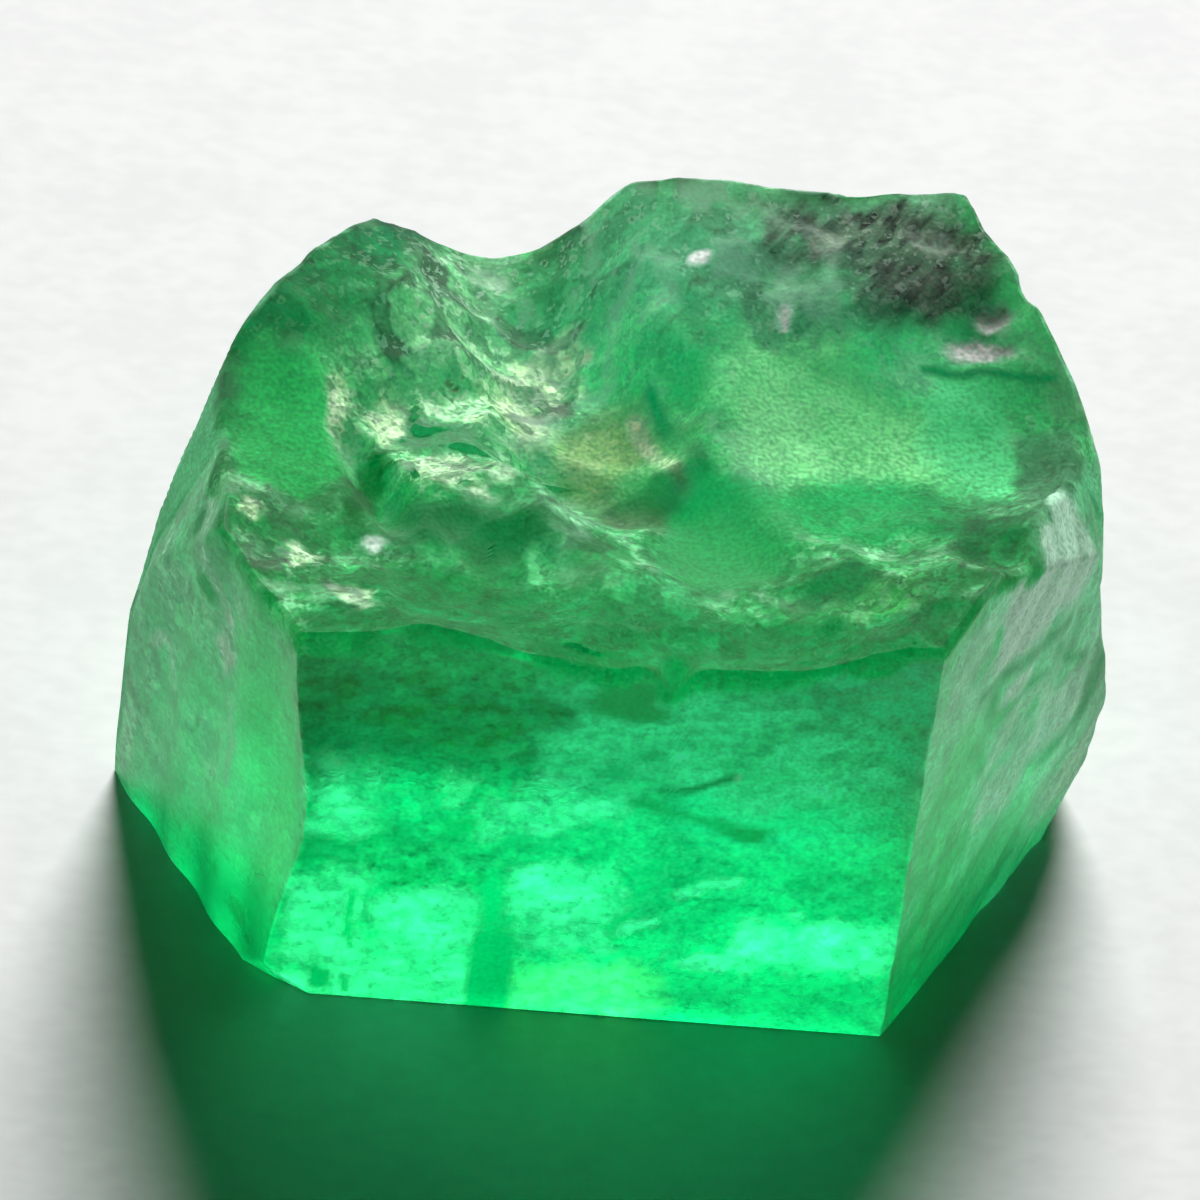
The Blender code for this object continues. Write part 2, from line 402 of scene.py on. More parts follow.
@dataclass(frozen=True)
class StoneForm:
    """The sizes of the stone in mm and the surfaces that they give.

    Most of them are the construction script's. The back of the rim, a few chips and hollows and the finest
    relief have values of their own here.
    """

    faces: tuple[PrismFace, ...] = (
        PrismFace(Face.FRONT, 270, 3.99),
        PrismFace(Face.FRONT_RIGHT, 330, 5.07),
        PrismFace(Face.BACK_RIGHT, 30, 5.31),
        PrismFace(Face.BACK, 90, 3.99),
        PrismFace(Face.BACK_LEFT, 150, 4.96),
        PrismFace(Face.FRONT_LEFT, 210, 5.55),
    )
    chips: tuple[Chip, ...] = (
        Chip(177, 10, (-5.82, -0.4, 4.16)),
        Chip(178, 20, (-5.96, -0.45, 3.85)),
        Chip(350, -24, (5.93, 0.1, 0.62)),
        Chip(4, 6, (5.97, 0.25, 2.7)),
        Chip(352, 27, (5.78, 0.2, 5)),
        Chip(242, -28, (-4.02, -3.9, 0.3)),
        Chip(124, -30, (-3.3, 3.9, 0.5)),
        Chip(63, -22, (3.72, 3.92, 0.9)),
    )
    rim: tuple[Pair, ...] = (
        (2.4, 6), (12.4, 6.12), (19, 6.82), (27, 6.86), (34.5, 6.76), (41, 6.7), (48, 6.86), (61, 6.92),
        (72, 6.8), (86, 6.75), (93, 6.66), (98.5, 6.5), (102.5, 6.1), (108, 5.5), (115, 5.2),
        (122, 5.28), (128, 5.5), (131, 5.64), (138, 5.98), (146, 6.26), (157, 6.42), (170, 6.58),
        (177, 6.38), (183, 6.28), (191, 6.34), (225, 6.52), (237, 6.82), (252, 6.5), (266, 6.3),
        (296, 6.58), (311, 7.16), (328, 7.32), (340, 7.16), (351, 6.7),
    )  # fmt: skip
    middle_height: float = 6.2
    rim_calm: float = 0.65
    hollows: tuple[Hollow, ...] = (
        Hollow((-1.52, 2.7), 4.98, 4.6, 1.17, 109),
        Hollow((-0.4, 0.5), 5.3, 1.5, 1.2, 110),
        Hollow((-0.5, -0.25), 5.1, 1.9, 0.75, 154),
        Hollow((-2.35, 0.95), 5.5, 2.3, 1.9, 35),
        Hollow((-4.25, -0.2), 5.86, 3.4, 1.9, 150),
        Hollow((-3.3, -0.75), 5.5, 1.5, 0.42, 108),
        Hollow((-2.5, -2.2), 5.94, 3.6, 1.7, 170),
        Hollow((0.45, -1.1), 5.5, 2.4, 1.45, 128),
        Hollow((1, -3), 6.16, 2.4, 1.8, 20),
        Hollow((0.42, -4.05), 5.98, 0.62, 0.34, 90),
        Hollow((2.75, 0.3), 5.62, 3.1, 2.35, 20),
        Hollow((4.25, 0.35), 5.66, 1.9, 1.35, 60),
        Hollow((4, -1.5), 6.36, 1.4, 0.95, 130),
        Hollow((1.9, 2.9), 6.5, 3.2, 2.3, 10),
        Hollow((4.05, 1.98), 6.12, 1.2, 0.5, -4),
        Hollow((4.22, 2.4), 6.3, 0.8, 0.45, 20),
    )
    scallop_sizes: tuple[Triple, ...] = ((1.45, 0.24, 3), (0.62, 0.13, 11))
    scallop_mean: float = 0.42
    calm_spots: tuple[Oval, ...] = (
        Oval((2.4, 0.5), (2.6, 1.7), wobble=0.2, strength=0.85),
        Oval((-4.3, -0.1), (0.7, 1), wobble=0.2, strength=0.6),
        Oval((1, -1.15), (0.8, 0.9), wobble=0.2, strength=0.7),
        Oval((-0.3, 0.5), (0.75, 0.65), wobble=0.2, strength=0.8),
    )
    ridge_round: float = 0.32
    ridge_wander: float = 0.22
    ridge_cell: float = 1.1
    ridge_seeds: Pair = (51, 61)
    grain_sizes: tuple[Triple, ...] = ((0.46, 0.12, 21), (0.24, 0.04, 31))
    plain_grain: float = 0.55
    grain_spots: tuple[tuple[Oval, float], ...] = (
        (Oval((-2.3, 1.2), (1.9, 2.2), turn=20), 1.3),
        (Oval((-2.6, -0.7), (1.2, 0.5)), 1.4),
        (Oval((-3.7, -2.6), (1, 0.7), turn=-30), 0.9),
        (Oval((2.6, 0.5), (2.1, 1.5)), 0.1),
        (Oval((1, -1.15), (1.1, 0.6), turn=-52), 0.12),
        (Oval((-4.35, -0.1), (0.8, 1)), 0.15),
        (Oval((-0.4, 0.45), (0.9, 0.7)), 0.1),
        (Oval((3, 2.6), (1.8, 0.9), turn=-22), 0.8),
    )
    rib_height: float = 0.035
    rib_slant: float = 0.95
    rib_waves: Pair = (2.1, 4.7)
    rib_level: float = 0.9
    flute_height: float = 0.025
    flute_wave: float = 5.2
    front_wave: float = 2.6
    back_waves: Triple = (1.3, 3.9, 1.9)
    edge_hollow: float = 0.3
    edge_hollow_place: Pair = (1.6, 3.3)
    edge_hollow_size: Pair = (1.1, 1.9)
    least_facing: float = 0.2
    swells: tuple[Swell, ...] = (
        Swell(1.5, 1.8, 14, 0.9, 0.15),
        Swell(2, 4.2, 10, 0.6, -0.05),
        Swell(118, 2.4, 15, 1.6, -0.12),
    )

    def relief(self, face: Face, along: Array, up: Array) -> Array:
        """How far a face stands out from the flat.

        The front right face has curved ribs: the folded sine of a slanted, bent distance. The front left
        face has shallow flutes and a broad dent at its front edge. The front is nearly flat. The three
        back faces have soft steps.

        Args:
            face: which side of the prism.
            along: mm along the face, anticlockwise.
            up: mm above the table.

        Returns:
            mm outwards.
        """
        bend = 0.25 * np.sin(1.1 * along + 0.9) + 0.35 * np.sin(0.8 * up + 0.4)
        if face is Face.FRONT_RIGHT:
            wide, narrow = self.rib_waves
            slant = up - self.rib_slant * along + 1.6 * bend
            ribs = np.abs(np.sin(wide * slant)) + 0.5 * np.abs(np.sin(narrow * slant + along))
            ribs = ribs - self.rib_level
            return self.rib_height * ribs * np.clip(0.5 * (along + 2.6), 0.0, 1.0)
        if face is Face.FRONT_LEFT:
            (middle, level), (half_width, half_height) = self.edge_hollow_place, self.edge_hollow_size
            hollow = np.exp(-(((along - middle) / half_width) ** 2) - ((up - level) / half_height) ** 2)
            flutes = np.sin(self.flute_wave * along + 2.0 * bend)
            return self.flute_height * flutes - self.edge_hollow * hollow
        if face is Face.FRONT:
            return 0.25 * self.flute_height * np.sin(self.front_wave * up + bend)
        wide, narrow, level = self.back_waves
        steps = np.abs(np.sin(wide * along + 2.4 * bend)) + 0.4 * np.abs(np.sin(narrow * along - up + bend))
        return self.flute_height * (steps - 0.7) + 0.5 * self.flute_height * np.sin(level * up + bend)

    def swell(self, angle: Array, up: Array) -> Array:
        """How far the corners stand out: a sum of soft bumps round their directions and heights.

        Args:
            angle: directions from the middle, in radians.
            up: mm above the table.

        Returns:
            mm outwards.
        """
        out = np.zeros(np.shape(angle))
        for bump in self.swells:
            turn = np.cos(angle - math.radians(bump.direction))
            away = np.degrees(np.arccos(np.clip(turn, -1.0, 1.0)))
            rise = (up - bump.height) / bump.half_height
            out += bump.out * np.exp(-((away / bump.half_width) ** 2) - rise**2)
        return out

    def flat_reach(self, angle: Array) -> Array:
        """Distance from the middle to the flat faces: the least of each face's distance over its cosine.

        Args:
            angle: directions from the middle, in radians.

        Returns:
            The distances in mm.
        """
        reach = np.full(np.shape(angle), np.inf)
        for side in self.faces:
            facing = np.maximum(np.cos(angle - math.radians(side.direction)), self.least_facing)
            reach = np.minimum(reach, side.distance / facing)
        return reach

    def rough_reach(self, angle: Array, up: Array) -> Array:
        """Distance from the middle to the faces with their relief and the swells at the corners.

        Args:
            angle: directions from the middle, in radians.
            up: mm above the table.

        Returns:
            The distances in mm.
        """
        reach = np.full(np.shape(angle), np.inf)
        for side in self.faces:
            turn = angle - math.radians(side.direction)
            facing = np.maximum(np.cos(turn), self.least_facing)
            along = side.distance * np.sin(turn) / facing
            reach = np.minimum(reach, (side.distance + self.relief(side.face, along, up)) / facing)
        return reach + self.swell(angle, up)

    def wall_reach(self, angle: Array, up: Array) -> Array:
        """Distance from the middle to the wall: the least of prism and chips, moved by the relief.

        Args:
            angle: directions from the middle, in radians.
            up: mm above the table.

        Returns:
            The distances in mm.
        """
        flat = self.flat_reach(angle)
        reach = flat
        for chip in self.chips:
            tilt, direction = math.radians(chip.tilt), math.radians(chip.direction)
            level, steep = math.cos(tilt), math.sin(tilt)
            east, north = level * math.cos(direction), level * math.sin(direction)
            offset = east * chip.point[0] + north * chip.point[1] + steep * chip.point[2]
            facing = east * np.cos(angle) + north * np.sin(angle)
            cut = (offset - steep * up) / np.maximum(facing, 1e-3)
            reach = np.where(facing > self.least_facing, np.minimum(reach, cut), reach)
        growth = self.rough_reach(angle, up) / flat - 1.0
        return reach * (1.0 + growth * (reach / flat) ** 4)

    def top_height(self, x: Array, y: Array) -> Array:
        """Height of the broken top.

        The rim's height is carried inwards by the square of the distance. The lowest hollow is taken, with
        its ridges rounded and wandering a little. Scallops of two sizes, calmer at the rim, and grain are
        added.

        Args:
            x, y: the places in mm.

        Returns:
            The heights in mm.
        """
        angle = np.arctan2(y, x)
        share = np.clip(np.hypot(x, y) / self.flat_reach(angle), 0.0, 1.2)
        stations, heights = zip(*self.rim)
        rim = np.interp(np.degrees(angle), stations, heights, period=360.0)
        height = self.middle_height + (rim - self.middle_height) * share**2
        inside = 1.0 - np.minimum(share, 1.0) ** 8
        shift, slide = (
            self.ridge_wander * inside * (2.0 * cloudy(x, y, self.ridge_cell, seed) - 1.0)
            for seed in self.ridge_seeds
        )
        for hollow in self.hollows:
            bowl = hollow.height(x + shift, y + slide)
            gap = np.maximum(self.ridge_round - np.abs(height - bowl), 0.0) / self.ridge_round
            height = np.minimum(height, bowl) - 0.25 * self.ridge_round * gap**2
        calm = 1.0 - self.rim_calm * np.minimum(share, 1.0) ** 6
        for spot in self.calm_spots:
            calm = calm * (1.0 - spot.mask(x, y))
        for cell, depth, seed in self.scallop_sizes:
            height = height + calm * depth * (scallops(x, y, cell, seed) - self.scallop_mean)
        return height + self.grain(x, y)

    def grain(self, x: Array, y: Array) -> Array:
        """Fine relief of the broken top: small facets of two sizes, stronger or weaker in some spots.

        Args:
            x, y: the places in mm.

        Returns:
            The height that is added, in mm.
        """
        amount = np.full(np.shape(x), self.plain_grain)
        for oval, level in self.grain_spots:
            amount = amount + (level - amount) * oval.mask(x, y)
        relief = np.zeros(np.shape(x))
        for cell, depth, seed in self.grain_sizes:
            relief = relief + depth * facets(*twisted(x, y), cell, seed)[0]
        return amount * relief


class Zone(Enum):
    """The bands of the grid, from below to above."""

    UNDERSIDE = 0
    WALL = 1
    TOP = 2


@dataclass(frozen=True)
class StoneGrid:
    """The grid that the surface is worked out on: columns round the stone and rows from pole to pole."""

    columns: int = 560
    underside_rows: int = 6
    wall_rows: int = 88
    top_rows: int = 82
    rim_round: float = 0.09
    corner_crowding: float = 0.9
    front_crowding: float = 0.5
    front_side: Pair = (205.0, 338.0)
    front_fade: float = 0.2
    outline_steps: int = 20001
    corner_bend: float = 40.0
    corner_steps: int = 161
    rim_rounds: int = 24
    wall_spacing: Pair = (0.55, 0.45)
    top_spacing: float = 1.12
    least_slope: float = 0.98

    def angles(self, form: StoneForm) -> Array:
        """Directions round the stone, evenly spaced on its outline, closer on its front and at its corners.

        The distance along the outline is summed from small steps, with a bonus on the front side and near
        each corner, and read back at even steps.

        Args:
            form: the form whose outline is followed.

        Returns:
            The angle of each column, from 0 to a full turn.
        """
        fine = np.linspace(0.0, 2.0 * math.pi, self.outline_steps)
        reach = form.flat_reach(fine)
        steps = np.hypot(np.diff(reach * np.cos(fine)), np.diff(reach * np.sin(fine)))
        bend = np.abs(np.gradient(np.gradient(reach, fine), fine))[1:]
        corner = np.convolve(bend > self.corner_bend, np.ones(self.corner_steps), "same") > 0
        low, high = (math.radians(direction) for direction in self.front_side)
        front = smooth_step(0.0, self.front_fade, fine[1:] - low)
        front = front * smooth_step(0.0, self.front_fade, high - fine[1:])
        weight = 1.0 + self.corner_crowding * corner + self.front_crowding * front
        length = np.concatenate([[0.0], np.cumsum(steps * weight)])
        return np.interp(np.arange(self.columns) * length[-1] / self.columns, length, fine)

    def rim(self, form: StoneForm, angle: Array) -> tuple[Array, Array]:
        """Finds the rim, where the wall meets the top, by going back and forth between the two.

        Args:
            form: the form that gives the wall and the top.
            angle: the direction of each column.

        Returns:
            The reach and the height of the rim in mm.
        """
        height = np.full(angle.shape, form.middle_height)
        for _ in range(self.rim_rounds):
            reach = form.wall_reach(angle, height)
            meets = form.top_height(reach * np.cos(angle), reach * np.sin(angle))
            height = 0.5 * (height + meets)
        return form.wall_reach(angle, height), height


@dataclass(frozen=True)
class StoneSurface:
    """Points of the surface, row by row, in mm, with the zone and the direction of each point."""

    points: Array
    zones: Array
    angles: Array


@dataclass(frozen=True)
class Coat:
    """A look of the skin: milky frost, roughness, colour, and how thick grains, specks and streaks are. The
    specks, set by glint, are painted glints.
    """

    frost: float
    rough: float
    tint: Colour
    grainy: float = 0.0
    glint: float = 0.0
    streaky: float = 0.0

    def row(self) -> Array:
        """The values in the order of the numbers below."""
        return np.array([self.frost, self.rough, self.glint, self.streaky, self.grainy, *self.tint])


FROST, ROUGH, GLINT, STREAKY, GRAINY = range(5)
TINT = slice(5, 8)


@dataclass(frozen=True)
class FaceSkin:
    """The skin of one face: its plain coat and the patches and streaks laid over it in order."""

    coat: Coat
    layers: tuple[tuple[Shape, Coat], ...] = ()

    def values(self, u: Array, v: Array) -> Array:
        """The skin at each place.

        The coat's row is moved towards each layer's row by that layer's mask. Where the skin is grainy, every
        small break is a little paler or deeper, and milkier or clearer, than its neighbours: partly a tone of
        its own and partly painted light, as each break catches the light in its own way. The seams between
        them are darker, which on top is painted shade in the creases.

        Args:
            u, v: the places in mm.

        Returns:
            A row of values for each place.
        """
        values = self.coat.row() + np.zeros((*np.shape(u), TINT.stop))
        for shape, coat in self.layers:
            values = values + (coat.row() - values) * shape.mask(u, v)[..., None]
        grains = np.zeros(np.shape(u))
        for cell, seed, weight, seam in GRAIN_SHADES:
            _, shade, gap = facets(*twisted(u, v), cell, seed)
            grains = grains + weight * (shade - 0.5 - seam * (1.0 - smooth_step(0.0, SEAM_WIDTH, gap)))
        grains = grains * values[..., GRAINY]
        values[..., FROST] += GRAIN_FROST * grains
        values[..., TINT] *= np.maximum(1.0 + GRAIN_TINT * grains, LEAST_TINT)[..., None]
        return values


def coated(coat: Coat, *shapes: Shape) -> tuple[tuple[Shape, Coat], ...]:
    """Lays one coat on several shapes."""
    return tuple((shape, coat) for shape in shapes)


# The grains of the skin: cell, seed, weight of the shade, and how much darker the seams are. On top the seams
# follow the creases between the small breaks of the form, so there the darker seams are painted shade.
GRAIN_SHADES = ((0.46, 21.0, 0.55, 0.3), (0.24, 31.0, 0.75, 0.0))
SEAM_WIDTH = 0.2
GRAIN_FROST = 0.3
GRAIN_TINT = 1.2
LEAST_TINT = 0.08

LEAF = (0.08, 0.54, 0.18)
PALE = (0.75, 0.95, 0.8)
# White of the flecks on the top: painted glints.
GLINT_WHITE = (0.97, 1.0, 0.93)
CLEAR = (0.9, 1.0, 0.9)

TOP_SKIN = FaceSkin(
    Coat(0.14, 0.95, LEAF, 0.7, 0.3),
    (
        (Streaks(0.9, 0.6, 25, 0.42, 0.66, 0.3, 2), Coat(0.06, 0.9, (0.01, 0.36, 0.1), 0.7, 0.05)),
        (Streaks(0.5, 0.35, -30, 0.5, 0.7, 0.2, 5), Coat(0.25, 0.8, (0.16, 0.62, 0.26), 1, 0.2)),
        # The far left peak, the outer band on the left and the valley between the peaks.
        (Oval((-3.5, 3.2), (0.9, 1.2), turn=20), Coat(0.02, 1, (0, 0.24, 0.06), 1, 0.2)),
        (Oval((-3.3, 3.8), (1, 0.5)), Coat(0.03, 1, (0, 0.18, 0.05), 0.8, 0.1)),
        (Oval((-4.9, 1.3), (0.8, 1.6), turn=-35), Coat(0.03, 1, (0.002, 0.26, 0.07), 0.8, 0.1)),
        (Oval((-2.1, 2.9), (0.7, 1.1)), Coat(0.2, 0.8, (0.14, 0.45, 0.18), 1.2, 0.45)),
        (Oval((-1.1, 3.2), (0.6, 1), turn=-20), Coat(0.06, 0.85, (0.02, 0.28, 0.08), 1, 0.2)),
        (Oval((0.3, 3.1), (1.2, 0.9)), Coat(0.14, 0.85, (0.06, 0.36, 0.14), 1, 0.2)),
        # The smooth facet on the left, and the mottled, frosted middle of the left half, whose pale blotches
        # are painted glints.
        (Oval((-4.3, -0.1), (0.65, 1), square=3), Coat(0.17, 1, (0.05, 0.78, 0.2), 0.2)),
        (Oval((-2.5, 1.3), (1.3, 1.3), turn=20), Coat(0.3, 0.8, (0.28, 0.64, 0.28), 1.4, 0.4)),
        (Oval((-2.6, 0.3), (0.6, 0.35)), Coat(0.08, 0.75, (0.03, 0.36, 0.12), 0.3)),
        (
            Oval((-1.4, 1.4), (0.45, 0.8), turn=-15, wobble=0.9),
            Coat(0.45, 0.7, (0.5, 0.72, 0.36), 1.3, 0.3),
        ),
        (Oval((-1, 2.25), (0.35, 0.3), wobble=0.9), Coat(0.5, 0.7, (0.55, 0.76, 0.42), 1.2, 0.3)),
        (Oval((-2.3, -0.65), (0.5, 0.5), wobble=0.9), Coat(0.45, 0.7, (0.4, 0.66, 0.34), 1.4, 0.4)),
        (Oval((-3.1, 0.5), (0.22, 0.35), wobble=0.9), Coat(0.45, 0.7, (0.5, 0.72, 0.38), 1.2, 0.4)),
        (Oval((-3.75, 0.5), (0.14, 0.45), wobble=0.9), Coat(0.4, 0.7, (0.45, 0.7, 0.36), 1.2, 0.4)),
        (Oval((-3.35, -0.8), (0.2, 0.8), turn=-12), Coat(0.02, 1, (0, 0.16, 0.03), 0.4)),
        # The yellow-green middle with its dark, brown foot and the pale edge beside it, a painted highlight
        # along a ridge.
        (Oval((-0.95, -0.9), (0.4, 0.85), turn=-10), Coat(0.35, 0.8, (0.22, 0.55, 0.3), 0.9, 0.1)),
        (Oval((-0.35, 0.5), (0.75, 0.7), soft=0.6), Coat(0.6, 0.85, (0.27, 0.48, 0.15), 0.25, 0.1)),
        (Oval((-0.05, -0.45), (0.65, 0.4), turn=-20, soft=0.6), Coat(0.5, 0.85, (0.09, 0.19, 0.07), 0.3)),
        (Crack(((-0.1, 0.95), (0.2, 0.3), (0.55, -0.3)), 0.07), Coat(0.8, 0.7, (0.6, 0.75, 0.45), 0.5)),
        (Crack(((0.1, 1.2), (0.35, 0.6), (0.75, -0.1)), 0.08), Coat(0.03, 0.9, (0, 0.2, 0.06))),
        # The slope down to the front, which is deep green, its darkness painted shade for a slope turned away
        # from the light, with a haze over it and pale flecks on the left, which are painted glints.
        (Oval((-2.1, -1.6), (1, 0.4)), Coat(0.2, 0.9, (0.05, 0.22, 0.09), 0.4)),
        (Oval((-2.1, -3), (1.2, 0.9)), Coat(0.04, 1, (0, 0.3, 0.1), 0.7)),
        (Oval((0.2, -2.6), (0.5, 0.7), turn=-15), Coat(0.12, 0.9, (0.06, 0.5, 0.2), 0.7, 0.1)),
        (
            Oval((-0.65, -2.35), (0.34, 0.26), soft=0.9, wobble=0.9, strength=0.7),
            Coat(0.2, 0.9, (0.03, 0.15, 0.05)),
        ),
        (Oval((0, -3.8), (3.9, 0.9), soft=0.4), Coat(0.04, 1, (0, 0.34, 0.13), 0.6, 0.05)),
        (Oval((-4.75, -1.75), (0.14, 0.28), wobble=0.8), Coat(0.5, 0.8, (0.5, 0.72, 0.38), 1.2, 0.3)),
        (Oval((-4.1, -2.35), (0.2, 0.24), wobble=0.9), Coat(0.45, 0.8, (0.45, 0.7, 0.38), 1.2, 0.3)),
        (
            Oval((-3.5, -3.1), (0.35, 0.2), turn=-30, wobble=0.9),
            Coat(0.42, 0.8, (0.42, 0.7, 0.36), 1.2, 0.3),
        ),
        (Oval((-3.25, -1.9), (0.15, 0.13), wobble=0.7), Coat(0.7, 0.45, PALE, 0, 0.3)),
        # The smooth slab, the broad pale hollow and the dark notch on the right.
        (
            Oval((1, -1.15), (0.75, 0.85), turn=-10, soft=0.12, wobble=0.2, square=4),
            Coat(0.12, 0.9, (0.05, 0.5, 0.17), 0.1),
        ),
        (Oval((2, 0.6), (1.7, 1.2), wobble=0.8), Coat(0.55, 0.9, (0.26, 0.9, 0.32), 0.2, 0.1)),
        (Oval((2.9, -0.6), (1.2, 0.7)), Coat(0.14, 1, (0.02, 0.62, 0.19), 0.25, 0.05)),
        # A bright, saturated spot by the back right wall: painted glow of light coming through the thin wall.
        (Oval((4.05, 0.8), (0.6, 0.85), square=3), Coat(0.45, 0.85, (0.14, 1, 0.36), 0.15)),
        (Oval((4.05, -1.2), (0.45, 0.6), soft=0.7, wobble=0.8), Coat(0, 1, (0, 0.26, 0.08), 0.8)),
        (Oval((2.4, -2.3), (0.5, 0.35)), Coat(0.03, 1, (0, 0.25, 0.09), 0.6)),
        (Oval((2.9, -2.8), (0.5, 0.35)), Coat(0.15, 0.9, (0.06, 0.42, 0.1), 0.9, 0.2)),
        (Oval((5.1, -0.2), (0.45, 1.2), square=3), Coat(0.3, 0.9, (0.07, 0.27, 0.12), 0.6, 0.05)),
        # The grey, streaked patch at the far right, the veil before it and the white flecks under it, which
        # are painted glints.
        (Oval((1.8, 2.4), (1.1, 0.6), wobble=0.7), Coat(0.3, 0.95, (0.07, 0.24, 0.11), 0.8, 0.15, 0.4)),
        (
            Oval((2.3, 3.4), (1, 0.45), turn=-12, soft=0.55, wobble=0.8),
            Coat(0.7, 0.95, (0.09, 0.17, 0.1), 0.6, 0.2, 1),
        ),
        (
            Oval((3.35, 2.75), (0.85, 0.58), turn=-30, soft=0.5, wobble=0.6),
            Coat(0.8, 0.95, (0.07, 0.11, 0.07), 0.5, 0.1, 1),
        ),
        (
            Oval((3.3, 3.4), (0.75, 0.42), soft=0.5, wobble=0.8),
            Coat(0.7, 0.95, (0.08, 0.14, 0.08), 0.6, 0.2, 1),
        ),
        (Crack(((3.4, 1.7), (4.2, 1.66), (5, 1.55)), 0.05), Coat(0.05, 0.9, (0, 0.2, 0.06))),
        (Oval((4.05, 1.95), (0.4, 0.14), turn=-4, wobble=0.6), Coat(1, 0.7, GLINT_WHITE)),
        (Oval((4.2, 2.36), (0.22, 0.14), turn=20, wobble=0.6), Coat(1, 0.7, GLINT_WHITE)),
        (Oval((0.55, 2.85), (0.14, 0.1), turn=30, wobble=0.7), Coat(0.9, 0.4, GLINT_WHITE)),
        (Oval((1.65, 2.1), (0.08, 0.14), wobble=0.7), Coat(0.9, 0.4, GLINT_WHITE)),
    ),
)

# Pale tint of the bright, flaky blocks on the front: painted glow of the light through the stone.
GLOW_FLAKES = Coat(0.03, 0.2, (1, 1, 0.82), 0.3, 0, 0.65)

